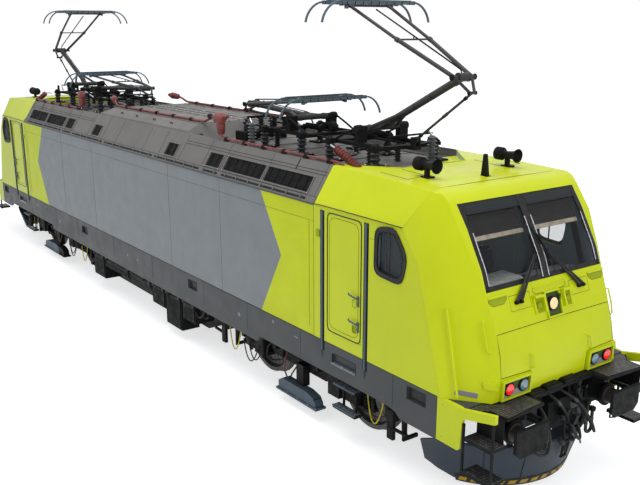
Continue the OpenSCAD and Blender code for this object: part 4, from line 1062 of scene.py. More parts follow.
def build_roof_top():
    kit = Kit()
    # Panels of the hood with their lids, hinges and lifting eyes
    for x0, x1 in ((0.02, 0.66), (0.7, 1.34), (1.38, 1.8)):
        y0, y1 = 0.03, 0.86
        kit.box((x0, y0, HOOD_Z - 0.004), (x1, y1, HOOD_Z + 0.012), "roof_paint")
        for u in (x0 + 0.05, x1 - 0.05):
            for v in (y0 + 0.06, y1 - 0.05):
                kit.turned((u, v, HOOD_Z + 0.01), UP, [(0, 0.014), (0.007, 0.01)], "chrome", 6)
        for a, b in ((0.2, 0.225), (0.66, 0.685)):
            kit.box((x0 + 0.08, a, HOOD_Z + 0.012), (x1 - 0.08, b, HOOD_Z + 0.024), "roof_paint")
    for x in (0.35, 1.05):
        kit.tube([(x, 1.03, 3.83), (x, 1.045, 3.875), (x + 0.07, 1.045, 3.875),
                  (x + 0.07, 1.03, 3.83)], 0.009, BLACK, 6)
    # Deck plates and walkway strips beside the pantographs, and the rims' inner edges
    kit.box((2.15, 0.93, 3.652), (6.06, 1.1, 3.668), "chequer_dark")
    for x in (2.7, 3.35, 4.0, 4.65, 5.3, 5.95):
        kit.tube([(x, 0.0, 3.652), (x, 1.115, 3.652)], 0.006, GROOVE, 4)
    kit.tube([(2.1, 1.122, 3.772), (6.07, 1.122, 3.772)], 0.01, "roof_paint", 6)
    # Round hatches in the deck
    for x in (2.55, 4.83):
        kit.turned((x, 0.0, 3.65), UP, [(0, 0.2), (0.02, 0.2), (0.03, 0.185), (0.034, 0.05)],
                   "roof_paint", 28)
        for u, v in circle(x, 0, 0.17, 8):
            kit.turned((u, v, 3.676), UP, [(0, 0.011), (0.012, 0.009)], "chrome", 6)
    kit.mirrored(1)
    # Plates under the insulators' feet and caps on their heads
    for px, d in ((PAN_X[0], 1), (PAN_X[1], -1)):
        for fx in FEET[0]:
            for s in (-1, 1):
                x = px + d * fx
                base = 3.69 if x > 6.09 else 3.65
                kit.box((x - 0.14, s * 0.55 - 0.14, base + 0.002),
                        (x + 0.14, s * 0.55 + 0.14, base + 0.026), BLACK)
                for u, v in circle(x, s * 0.55, 0.14, 4, 0.5):
                    kit.turned((u, v, base + 0.026), UP, [(0, 0.014), (0.014, 0.012)], "chrome", 6)
                kit.turned((x, s * 0.55, 3.962), UP, [(0, 0.052), (0.02, 0.058), (0.05, 0.03)],
                           BLACK, 14)
    # Busbars between the insulators, with pale-ribbed posts and flexible links
    for y in (-0.3, 0.22):
        kit.tube([(2.35, y, 3.93), (5.95, y, 3.93)], 0.016, BLACK, 8)
        for x in (2.45, 3.42, 4.83, 5.8):
            cone_bushing(kit, (x, y, 3.652), UP, 0.26, "insulator", 0.062, 6)
    for x, y in ((3.55, -0.86), (6.42, 0.3)):
        kit.turned((x, y, 3.7), UP, [(0, 0.05), (0.03, 0.05), (0.031, 0.02)], BLACK, 14)
        cone_bushing(kit, (x, y, 3.72), UP, 0.36, "insulator_pale", 0.072, 7)
        kit.tube([(x, y, 4.08), (x - 0.05, y, 4.14), (x - 0.3, y * 0.9, 4.02)], 0.01, "chrome", 6)
    # Dark-red arrester lying along the deck's edge, with its pale lead
    a, b = Vector((6.42, -0.99, 3.745)), Vector((5.88, -0.97, 3.945))
    cone_bushing(kit, b, a - b, (a - b).length, "cable_red", 0.058, 10)
    kit.tube([b, b + Vector((-0.1, 0, 0.03)), b + Vector((-0.22, 0.08, 0.02))], 0.013, "chrome", 8)
    kit.box((6.36, -1.05, 3.695), (6.5, -0.93, 3.74), BLACK)
    # Cables with sleeves, clamps and bell ends
    y = -1.145
    kit.tube([(6.0, y, 3.812), (6.05, y, 3.812), (6.14, y + 0.03, 3.8), (6.22, y + 0.06, 3.76)],
             0.018, "cable_red", 8)
    kit.tube([(3.26, y, 3.812), (3.2, y, 3.812), (3.1, y, 3.83), (3.04, y, 3.88),
              (3.03, y + 0.02, 3.95)], 0.019, "cable_red", 8)
    kit.turned((3.03, y + 0.02, 3.86), UP,
               [(0, 0.045), (0.03, 0.065), (0.16, 0.075), (0.24, 0.055), (0.26, 0.02)], "cable_red",
               16)
    kit.turned((3.12, y + 0.02, 4.1), (-1, 0, 0.05),
               [(0, 0.05), (0.05, 0.075), (0.22, 0.075), (0.28, 0.04), (0.36, 0.028)], "cable_red",
               16)
    kit.turned((2.78, y + 0.02, 4.12), (-1, 0, 0.02),
               [(0, 0.035), (0.1, 0.045), (0.11, 0.045), (0.12, 0.02)], BLACK, 14)
    for k in range(6):
        x = 3.23 + k * 0.55
        kit.box((x - 0.045, y - 0.03, 3.774), (x + 0.045, y + 0.035, 3.8), BLACK)
        kit.turned((x - 0.03, y, 3.812), AHEAD, [(0, 0.027), (0.06, 0.027)], BLACK, 12)
    for s in (-1, 1):
        kit.tube([(1.77, s * 0.8, 3.94), (1.9, s * 0.8, 3.95), (2.02, s * 0.78, 4.0),
                  (2.14, s * 0.74, 4.04)], 0.022, "cable_red", 8)
        kit.turned((2.12, s * 0.745, 4.03), (1, -s * 0.3, 0.1),
                   [(0, 0.04), (0.04, 0.06), (0.2, 0.07), (0.26, 0.05), (0.34, 0.02)], "cable_red",
                   16)
        for k in range(3):
            x = k * 0.7
            kit.turned((x - 0.035, s * 0.8, 3.94), AHEAD, [(0, 0.036), (0.07, 0.036)], BLACK, 12)
    # Main switch and its coils between the inner pantographs' feet
    kit.box((2.28, -0.42, 3.652), (2.62, 0.42, 3.8), BLACK)
    for y in (-0.28, 0.0, 0.28):
        cone_bushing(kit, (2.45, y, 3.8), UP, 0.22, "insulator", 0.07, 5)
    kit.tube([(2.45, -0.28, 4.03), (2.45, 0.28, 4.03)], 0.022, BLACK, 8)
    kit.mirrored(0)
    kit.build("roof_equipment", bevel=0.0025)


def build_cab_roofs():
    """Seams, the tray's frame and the horns' fittings on the cab roofs."""
    kit = Kit()
    kit.tube([(6.8, 0.58, 3.735), (6.8, 0.0, 3.735)], 0.006, "groove", 4)
    kit.tube([(6.1, 1.12, 3.765), (6.8, 0.582, 3.762)], 0.008, "yellow", 6)
    kit.tube([(6.8, 0.59, 3.76), (6.8, 0.0, 3.762)], 0.008, "yellow", 6)
    kit.box((6.1, 0.0, 3.688), (6.78, 0.56, 3.694), "roof_paint")
    kit.tube([(7.94, 0.0, 3.728), (7.94, 1.03, 3.722), (7.91, 1.15, 3.7)], 0.003, "groove", 4)
    kit.tube([(6.88, 0.66, 3.768), (7.36, 0.66, 3.75), (7.4, 1.02, 3.748), (6.88, 1.02, 3.768)],
             0.003, "groove", 4)
    # Horn pedestals and bands round the bodies
    kit.box((7.365, 0.665, 3.74), (7.505, 0.785, 3.762), BLACK)
    for x in (7.3, 7.345):
        kit.turned((x, 0.725, 3.9), BACK, [(0, 0.082), (0.012, 0.084), (0.024, 0.082)], BLACK, 24)
    kit.mirrored(1, 0)
    kit.build("cab_roof_details", bevel=0.002)


build_roof_sides()
build_roof_top()
build_cab_roofs()

# ---------------------------------------------------------------- sides of the body


def build_body_sides():
    kit = Kit()
    w = HALF_W
    # Black shadow line over the sole bar and welded seams in it
    kit.tube([(0, w, 1.424), (6.09, w, 1.424)], 0.006, GROOVE, 4)
    for x in (0.9, 2.9, 4.3, 5.75, 7.75):
        kit.tube([(x, w, 1.42), (x, w, 0.99)], 0.0025, GROOVE, 4)
    # Outlined panel in the yellow arrow, and joints in the grey wall
    kit.tube([(5.98, w, 1.55), (5.98, w, 3.05), (6.07, w, 3.05)], 0.0028, GROOVE, 4)
    kit.tube([(0, w, 3.05), (5.98, w, 3.05)], 0.0022, GROOVE, 4)
    for x in (1.75, 3.55):
        kit.tube([(x, w, 1.43), (x, w, 3.27)], 0.002, GROOVE, 4)
    # Jacking pockets and blank labels on the sole bar
    kit.loop(soften(rect(2.35, 2.65, 1.17, 1.33), 0.02), 1, w, 0.006, SEAL, 4)
    kit.box((2.353, w - 0.0395, 1.173), (2.647, w - 0.036, 1.327), SEAL)
    kit.solid(spread(rect(2.36, 2.44, 1.18, 1.32), 1, w - 0.036),
              spread(rect(2.36, 2.37, 1.18, 1.32), 1, w - 0.004), GROOVE)
    for x, z, wide, high in ((4.02, 1.13, 0.075, 0.06), (0.2, 1.16, 0.06, 0.05),
                             (5.02, 1.3, 0.055, 0.05), (5.6, 1.255, 0.1, 0.022)):
        kit.box((x, w - 0.001, z), (x + wide, w + 0.002, z + high), "plate_grey")
    # Bolted brackets that stand under the sole bar's edge
    for x in (0.35, 1.45, 2.95, 4.1):
        kit.box((x - 0.035, w - 0.048, 0.8), (x + 0.035, w - 0.03, 0.875), BLACK)
        kit.box((x - 0.035, w - 0.2, 0.8), (x + 0.035, w - 0.03, 0.818), BLACK)
    kit.mirrored(1, 0)
    kit.build("side_details", bevel=0.0015)


build_body_sides()


def build_horns():
    """Hollow trumpets with a drum behind, for the CAD's closed ones."""
    kit = Kit()
    at = (7.6, 0.725, 3.9)
    kit.turned(at, BACK,
               [(0.1, 0.001), (0.09, 0.018), (0.06, 0.052), (0.03, 0.07), (0.008, 0.083),
                (0.0, 0.088), (0.0005, 0.094), (0.012, 0.09), (0.06, 0.06), (0.15, 0.048),
                (0.24, 0.04), (0.255, 0.066), (0.262, 0.074), (0.305, 0.078), (0.312, 0.084),
                (0.352, 0.084), (0.36, 0.06), (0.372, 0.04), (0.374, 0.001)], "horn_black", 32)
    for d in (0.262, 0.312, 0.35):
        kit.turned((7.6 - d, 0.725, 3.9), BACK,
                   [(0, 0.08), (0.003, 0.0875), (0.007, 0.0875), (0.01, 0.08)], "horn_black", 32)
    kit.box((7.4, 0.697, 3.745), (7.45, 0.753, 3.866), "horn_black")
    kit.mirrored(1, 0)
    kit.build("horn_trumpets", bevel=0.001, replaces=["horns"])


build_horns()

# ---------------------------------------------------------------- pantographs


def pantograph(n):
    """Springs, links, guide rods and leads on pantograph n, each on the body it moves with."""
    foot, d, rise = ((PAN_X[0], 1, RAISED), (PAN_X[1], -1, 0.0), (-PAN_X[1], 1, 0.0),
                     (-PAN_X[0], -1, RAISED))[n - 1]

    def at(p, y):
        return Vector((foot + d * p[0], y, PAN_Z + p[1]))

    def polar(r, a):
        return Vector((r * math.cos(math.radians(a)), r * math.sin(math.radians(a))))
    knee = polar(LOWER_ARM, 2.8 + rise)
    arm_a = 174.7 - 0.855 * rise
    head = knee + polar(UPPER_ARM, arm_a)
    pin = knee + polar(0.25, arm_a - 202.7)
    thrust = Vector((0.72, -0.11))

    # Base: springs, raising gear, stops and cross ties, on the body
    kit = Kit()
    for s in (-1, 1):
        kit.box((foot - 0.55, s * 0.435, 3.958), (foot + 0.58, s * 0.425, 3.966), BLACK)
        kit.tube([at((-0.44, -0.12), s * 0.13), at((0.05, -0.12), s * 0.13)], 0.018, BLACK, 8)
        for k in range(17):
            kit.tube([at((-0.4 + k * 0.022, z), y) for y, z in circle(s * 0.13, -0.12, 0.042, 10)],
                     0.0065, BLACK, 5, closed=True)
        kit.turned(at((-0.47, -0.12), s * 0.13), (d, 0, 0),
                   [(0, 0.05), (0.03, 0.055), (0.06, 0.045)], BLACK, 14)
        kit.turned(at((0.0, 0.0), s * 0.475), (0, -s, 0),
                   [(0, 0.055), (0.03, 0.06), (0.09, 0.06), (0.1, 0.045)], BLACK, 18)
        kit.tube([at((-0.5, -0.19), s * 0.46), at((-0.3, -0.1), s * 0.46),
                  at((0.0, 0.02), s * 0.46)], 0.016, BLACK, 8)
        for fx in (-0.5, 0.53):
            kit.box((foot + d * fx - 0.055, s * 0.55 - 0.045, 3.96),
                    (foot + d * fx + 0.055, s * 0.55 + 0.045, 3.985), BLACK)
    kit.turned(at((-0.56, -0.1), -0.05), LEFT,
               [(0, 0.06), (0.02, 0.075), (0.08, 0.075), (0.1, 0.06)], BLACK, 18)
    kit.tube([at((0.53, -0.17), -0.4), at((0.62, -0.05), -0.4), at((0.62, -0.05), 0.4),
              at((0.53, -0.17), 0.4)], 0.014, BLACK, 8)
    kit.build(f"pantograph_base_{n}", "body", 0.002)

    # Lower arm: collar, lugs, the hose along it and the rubber stop
    kit = Kit()
    u = knee.normalized()
    side = Vector((-u.y, u.x))
    for t in (0.09, 0.9):
        kit.turned(at(knee * t, 0.0), (d * u.x, 0, u.y),
                   [(0, 0.052), (0.01, 0.056), (0.06, 0.056), (0.07, 0.052)], PAN_TUBE, 20)
    kit.tube([at(knee * t + side * (0.058 if 0.1 < t < 0.88 else 0.045), 0.03)
              for t in (0.06, 0.12, 0.3, 0.5, 0.7, 0.86, 0.95)], 0.009, HOSE, 6)
    for t in (0.25, 0.45, 0.65):
        kit.turned(at(knee * t, 0.0), (d * u.x, 0, u.y), [(0, 0.05), (0.012, 0.05)], BLACK, 18)
    for s in (-1, 1):
        kit.turned(at(knee, s * 0.075), (0, s, 0), [(0, 0.06), (0.024, 0.06), (0.028, 0.045)],
                   PAN_TUBE, 20)
        kit.turned(at((0, 0), s * 0.2), (0, s, 0), [(0, 0.052), (0.05, 0.052), (0.055, 0.046)],
                   PAN_TUBE, 20)
    kit.build(f"lower_arm_fittings_{n}", f"lower_arm_{n}", 0.002)

    # Upper arm: knee caps, cross brace, guide rod between the tubes and bridging leads
    kit = Kit()
    v = (head - knee).normalized()
    for s in (-1, 1):
        kit.turned(at(knee, s * 0.196), (0, s, 0), [(0, 0.04), (0.014, 0.04), (0.02, 0.025)], BLACK,
                   16)
        kit.turned(at(pin, s * 0.052), (0, s, 0), [(0, 0.026), (0.016, 0.026), (0.02, 0.015)],
                   BLACK, 12)
        mid = knee + (head - knee) * 0.5
        kit.turned(at(mid - v * 0.03, s * 0.29), (d * v.x, s * 0.13, v.y),
                   [(0, 0.034), (0.05, 0.034), (0.06, 0.024)], PAN_TUBE, 16)
        kit.turned(at(head, s * 0.345), (0, s, 0), [(0, 0.032), (0.04, 0.032), (0.045, 0.022)],
                   BLACK, 14)
    kit.tube([at(mid, -0.285), at(mid, 0.285)], 0.012, PAN_TUBE, 8)
    rod = [knee + v * 0.06 + Vector((0, 0.07)), knee + (head - knee) * 0.5 + Vector((0, 0.045)),
           head - v * 0.17 + Vector((0, 0.02))]
    kit.tube([at(p, 0.0) for p in rod], 0.011, BLACK, 8)
    kit.tube([at(rod[0], 0.0), at(knee, 0.0)], 0.01, BLACK, 6)
    kit.tube([at(rod[1], 0.0), at(mid, 0.0)], 0.009, BLACK, 6)
    kit.build(f"upper_arm_fittings_{n}", f"upper_arm_{n}", 0.002)

    # Head: carbon strips on their carriers, spring boxes, horn tips
    kit = Kit()
    top = PAN_Z + head.y
    for offset in (-0.19, 0.19):
        x = foot + d * (head.x + offset)
        kit.box((x - 0.022, -0.6, top + 0.058), (x + 0.022, 0.6, top + 0.072), "carbon")
        for k in range(9):
            y = -0.56 + k * 0.14
            kit.box((x - 0.031, y - 0.008, top + 0.012), (x + 0.031, y + 0.008, top + 0.05), BLACK)
        for s in (-1, 1):
            kit.turned(at(head + Vector((offset * 0.6, -0.005)), s * 0.405), UP,
                       [(0, 0.03), (0.01, 0.034), (0.05, 0.034), (0.06, 0.02)], STRIP, 14)
            for y in (0.62, 0.66):
                kit.box((x - 0.032, s * y - 0.006, top + 0.012),
                        (x + 0.032, s * y + 0.006, top + 0.064), STRIP)
    for y in (-0.57, 0.57):
        kit.tube([at(head + Vector((u, 0.03)), y) for u in (-0.19, 0.19)], 0.01, STRIP, 8)
    kit.build(f"head_fittings_{n}", f"head_{n}", 0.0015)

    # Thrust rod: threaded ends, lock nuts and a collar
    kit = Kit()
    r = (pin - thrust).normalized()
    a = (d * r.x, 0, r.y)
    for q in (thrust + r * 0.1, pin - r * 0.16):
        kit.turned(at(q, 0.0), a, [(0, 0.02), (0.008, 0.026), (0.045, 0.026), (0.053, 0.02)], BLACK,
                   6)
    kit.turned(at(thrust + r * ((pin - thrust).length * 0.5), 0.0), a,
               [(0, 0.019), (0.01, 0.022), (0.1, 0.022), (0.11, 0.019)], PAN_TUBE, 16)
    for s in (-1, 1):
        kit.turned(at(thrust, s * 0.02), (0, s, 0), [(0, 0.046), (0.006, 0.046), (0.008, 0.035)],
                   BLACK, 18)
    kit.build(f"thrust_rod_fittings_{n}", f"thrust_rod_{n}", 0.0015)


for number in (1, 2, 3, 4):
    pantograph(number)

# ---------------------------------------------------------------- bogies and wheels

WHEEL_R = 0.625
AXLE_X = 1.3      # an axle from the middle of its bogie
SPRING_Y = 1.04    # the primary springs
BOGIE_X = 5.2     # a bogie's pivot from the middle of the locomotive


def bogie_side(kit):
    """One side of a bogie about its own centre, drawn for +y."""
    for e in (-1, 1):
        # Axle box cover with bolts and earthing lead
        kit.turned((e * AXLE_X, 1.155, WHEEL_R), LEFT,
                   [(0, 0.15), (0.02, 0.152), (0.045, 0.135), (0.06, 0.085), (0.064, 0.02)], BOGIE,
                   28)
        for u, v in circle(e * AXLE_X, WHEEL_R, 0.122, 8, 0.5):
            kit.turned((u, 1.185, v), LEFT, [(0, 0.013), (0.02, 0.012)], BOLT, 6)
        kit.tube([(e * AXLE_X, 1.215, WHEEL_R + 0.02), (e * AXLE_X + 0.05, 1.26, WHEEL_R - 0.05),
                  (e * 1.2, 1.25, WHEEL_R + 0.08), (e * 1.1, 1.19, WHEEL_R + 0.2),
                  (e * 1.02, 1.13, WHEEL_R + 0.24)], 0.011, HOSE, 6)
        # Primary coil springs round the spring solids, with their seats
        for k in (-0.27, 0.27):
            x = e * AXLE_X + k
            kit.coil((x, SPRING_Y, 0.497), 0.084, 0.245, 4.5, 0.012, BOGIE)
            kit.turned((x, SPRING_Y, 0.486), UP, [(0, 0.104), (0.012, 0.104), (0.016, 0.09)], BOGIE,
                       20)
            kit.turned((x, SPRING_Y, 0.742), UP, [(0, 0.104), (0.016, 0.104)], BOGIE, 20)
        # Upright damper beside the axle box
        x = e * AXLE_X + e * 0.46
        kit.turned((x, 1.15, 0.5), UP,
                   [(0, 0.028), (0.02, 0.034), (0.17, 0.034), (0.18, 0.022), (0.36, 0.022),
                    (0.37, 0.03), (0.4, 0.03)], BOGIE, 14)
        # Brake hoses, sand pipes and their nozzles
        kit.tube([(e * 0.72, 1.13, 0.76), (e * 0.8, 1.18, 0.66), (e * 0.86, 1.17, 0.5),
                  (e * 0.8, 1.1, 0.4), (e * 0.72, 1.0, 0.42)], 0.013, HOSE, 8)
        kit.tube([(e * 2.12, 0.93, 0.56), (e * 2.07, 0.86, 0.4), (e * 2.02, 0.78, 0.2),
                  (e * 1.99, 0.755, 0.12)], 0.02, BLACK, 8)
        # Sand box lid, strap and filler
        lid = (2.068, 2.242) if e > 0 else (-2.242, -2.068)
        kit.box((lid[0], 0.91, 0.9), (lid[1], 1.172, 0.915), BLACK)
        kit.box((lid[0] + 0.03, 1.176, 0.57), (lid[0] + 0.05, 1.186, 0.9), BLACK)
        kit.box((lid[1] - 0.05, 1.176, 0.57), (lid[1] - 0.03, 1.186, 0.9), BLACK)
        kit.turned(((lid[0] + lid[1]) / 2, 1.176, 0.82), (0, 1, 0.3),
                   [(0, 0.045), (0.03, 0.045), (0.035, 0.03)], BLACK, 16)
        for u in (-0.09, 0.09):
            for z in (0.52, 0.76):
                kit.turned((e * 0.99 + u, 1.228, z), LEFT, [(0, 0.01), (0.006, 0.008)], BOLT, 6)
    # Body spring coils and their seats
    for x in (-0.23, 0.23):
        kit.coil((x, 1.03, 0.8), 0.14, 0.47, 6, 0.019, BOGIE, 6, 16)
        kit.turned((x, 1.03, 0.781), UP, [(0, 0.17), (0.02, 0.17), (0.025, 0.15)], BOGIE, 24)
        kit.turned((x, 1.03, 1.262), UP, [(0, 0.165), (0.03, 0.165)], BOGIE, 24)
    # Long damper's body, ends and bushes
    kit.turned((-0.56, 1.215, 0.85), AHEAD,
               [(0, 0.038), (0.02, 0.043), (0.5, 0.043), (0.52, 0.037)], BOGIE, 16)
    for x in (-0.6, 0.56):
        kit.turned((x, 1.215, 0.85), AHEAD,
                   [(0, 0.042), (0.012, 0.048), (0.028, 0.048), (0.04, 0.042)], BLACK, 16)
    # Weld seams and stiffeners on the side beam
    for x in (-0.95, -0.42, 0.42, 0.95):
        kit.box((x - 0.008, 1.119, 0.6), (x + 0.008, 1.15, 0.74), BOGIE)
    kit.tube([(-1.95, 1.123, 0.935), (-1.0, 1.123, 0.95), (-0.62, 1.123, 0.8), (0.62, 1.123, 0.8),
              (1.0, 1.123, 0.95), (1.95, 1.123, 0.935)], 0.012, BLACK, 6)
    kit.tube([(-1.95, 1.123, 0.83), (-0.9, 1.123, 0.8), (-0.7, 1.123, 0.72), (0.7, 1.123, 0.72),
              (0.9, 1.123, 0.8), (1.95, 1.123, 0.83)], 0.009, BLACK, 6)
    # Inductor's shell over its solid, with bolts and its thin red lead
    shell = [(-0.302, 0.182), (-0.302, 0.3), (-0.2, 0.363), (0.42, 0.363), (0.6, 0.32),
             (0.662, 0.24), (0.665, 0.182)]
    kit.plate(shell, 1, 1.166, 1.314, BLUE_GREY)
    kit.box((-0.345, 1.146, 0.15), (0.705, 1.334, 0.183), BLUE_GREY)
    for x in (-0.32, -0.05, 0.22, 0.49, 0.685):
        for y in (1.155, 1.325):
            kit.turned((x, y, 0.18), UP, [(0, 0.009), (0.01, 0.008)], "chrome", 6)
    kit.tube([(-0.2, 1.22, 0.35), (-0.26, 1.23, 0.46), (-0.29, 1.19, 0.6), (-0.3, 1.14, 0.72)],
             0.012, "cable_red", 8)
    kit.tube([(-0.1, 1.24, 0.36), (-0.02, 1.25, 0.48), (0.05, 1.22, 0.6), (0.05, 1.15, 0.68)],
             0.012, HOSE, 8)


def sagging(kit, x0, x1, y, top, low, mat="cable_yellow", r=0.01):
    """A lead that hangs between two points at the same height."""
    n = 14
    kit.tube([(x0 + (x1 - x0) * k / n, y + 0.02 * math.sin(math.pi * k / n),
               top - (top - low) * math.sin(math.pi * k / n) ** 0.7) for k in range(n + 1)], r, mat,
             8)


def build_bogies():
    for e, end in ((1, "front"), (-1, "rear")):
        kit = Kit()
        bogie_side(kit)
        # The outer end stays flat enough to pass behind the door steps when the bogie turns
        for vert in kit.bm.verts:
            over = abs(vert.co.y) - 1.145
            if vert.co.x > 1.12 and over > 0 and vert.co.z < 1.0:
                vert.co.y = math.copysign(1.145 + 0.2 * over, vert.co.y)
        # Sagging leads to the axle-box sensors, in yellow and black
        sagging(kit, 1.63, 1.98, 1.13, 0.8, 0.36)
        sagging(kit, -1.98, -1.6, 1.19, 0.76, 0.3)
        sagging(kit, -1.42, -0.98, 1.25, 0.62, 0.3, HOSE, 0.01)
        sagging(kit, -1.32, -0.9, 1.22, 0.64, 0.34, HOSE)
        kit.mirrored(1)
        # Traction link, pivot ring and the cross pipes on the middle beam
        kit.tube([(-0.9, 0.18, 0.45), (0.9, 0.18, 0.45)], 0.035, BOGIE, 12)
        kit.tube([(0.0, -0.85, 0.775), (0.0, 0.85, 0.775)], 0.016, BLACK, 8)
        kit.turned((0, 0, 0.372), UP, [(0, 0.12), (0.02, 0.165), (0.04, 0.165)], BOGIE, 24)
        kit.build(f"bogie_details_{end}", f"bogie_{end}", 0.003,
                  matrix=Matrix.Translation((e * BOGIE_X, 0, 0)) @ Matrix.Diagonal((e, 1, 1, 1)))


def build_wheels():
    """Bolt circles, brake discs' vents and the hub caps of each wheelset."""
    for n, (e, k) in enumerate(((1, 1), (1, -1), (-1, 1), (-1, -1)), 1):
        kit = Kit()
        x = e * BOGIE_X + k * AXLE_X
        for s in (-1, 1):
            for u, v in circle(x, WHEEL_R, 0.345, 12):
                kit.turned((u, s * 0.755, v), (0, s, 0), [(0, 0.02), (0.012, 0.018)], BOLT, 6)
            for a, b in zip(circle(x, WHEEL_R, 0.24, 24, 0.5), circle(x, WHEEL_R, 0.5, 24, 0.5)):
                kit.tube([(a[0], s * 0.763, a[1]), (b[0], s * 0.757, b[1])], 0.007, "wheel_web", 4)
            for r in (0.215, 0.455, 0.525):
                kit.loop(circle(x, WHEEL_R, r, 48), 1, s * 0.76, 0.008, "wheel_web")
            kit.turned((x, s * 0.825, WHEEL_R), (0, s, 0),
                       [(0, 0.118), (0.014, 0.118), (0.018, 0.1)], "wheel_web", 24)
        kit.build(f"wheel_details_{n}", f"wheelset_{n}", 0.0015)


build_bogies()
build_wheels()

# ---------------------------------------------------------------- under the floor

BOXES = ((1.18, 1.8, 0.17, 0.93), (0.6, 1.15, 0.42, 0.93), (-0.43, 0.56, 0.64, 0.93),
         (-1.7, -0.47, 0.6, 0.93), (-2.35, -1.75, 0.3, 0.93), (1.85, 2.35, 0.45, 0.93))


def build_underfloor():
    kit = Kit()
    y = 1.379
    for x0, x1, z0, z1 in BOXES:
        # Lid with a rim, hinges, catches and louvres
        kit.box((x0 + 0.025, y - 0.001, z0 + 0.025), (x1 - 0.025, y + 0.01, z1 - 0.14), BLACK)
        lid = soften(rect(x0 + 0.035, x1 - 0.035, z0 + 0.035, z1 - 0.15), 0.03)
        kit.loop(lid, 1, y + 0.01, 0.006, BLACK)
        for k in range(int((z1 - z0 - 0.25) / 0.05)):
            z = z0 + 0.08 + k * 0.05
            a, b = x0 + 0.1, x1 - 0.1
            kit.solid(spread(rect(a, b, z, z + 0.02), 1, y + 0.008),
                      [(a, y + 0.022, z - 0.006), (b, y + 0.022, z - 0.006),
                       (b, y + 0.01, z + 0.02), (a, y + 0.01, z + 0.02)], "mesh_grille")
        for x in (x0 + 0.07, x1 - 0.07):
            kit.box((x - 0.025, y + 0.008, z1 - 0.165), (x + 0.025, y + 0.026, z1 - 0.125), BOLT)
            kit.turned((x, y + 0.008, z0 + 0.06), LEFT, [(0, 0.016), (0.012, 0.014)], BOLT, 8)
    # Pipes along the transformer and its ribs
    for z, r in ((0.985, 0.022), (1.045, 0.015)):
        kit.tube([(-2.6, 1.31, z), (2.6, 1.31, z)], r, BLACK, 8)
    for k in range(14):
        x = -2.27 + k * 0.35
        kit.box((x - 0.012, 1.018, 0.62), (x + 0.012, 1.045, 1.28), "tank_paint")
    sagging(kit, 2.3, 2.82, 1.28, 0.98, 0.62, HOSE, 0.014)
    sagging(kit, 2.2, 2.7, 1.34, 0.96, 0.62, HOSE, 0.016)
    sagging(kit, -2.8, -2.34, 1.3, 0.96, 0.5, HOSE, 0.018)
    # Air reservoirs between the tank and the bogies
    for x in (-2.62, 2.62):
        kit.turned((x - 0.2, 0.72, 0.98), AHEAD,
                   [(-0.04, 0.06), (0.0, 0.15), (0.05, 0.19), (0.35, 0.19), (0.4, 0.15),
                    (0.44, 0.06)], BLACK, 24)
        for u in (-0.11, 0.11):
            band = [(y, z) for z, y in circle(0.98, 0.72, 0.197, 24)]
            kit.loop(band, 0, x + u, 0.01, BOLT)
    kit.mirrored(1)
    # Bottom plate's ribs on the tank
    for k in range(9):
        x = -2.0 + k * 0.5
        kit.box((x - 0.015, -1.0, 0.24), (x + 0.015, 1.0, 0.252), "tank_paint")
    kit.build("underfloor_details", bevel=0.003)


build_underfloor()

# ---------------------------------------------------------------- buffers, couplings and deflectors


BUFFER_Y, BUFFER_Z = 0.875, 1.05


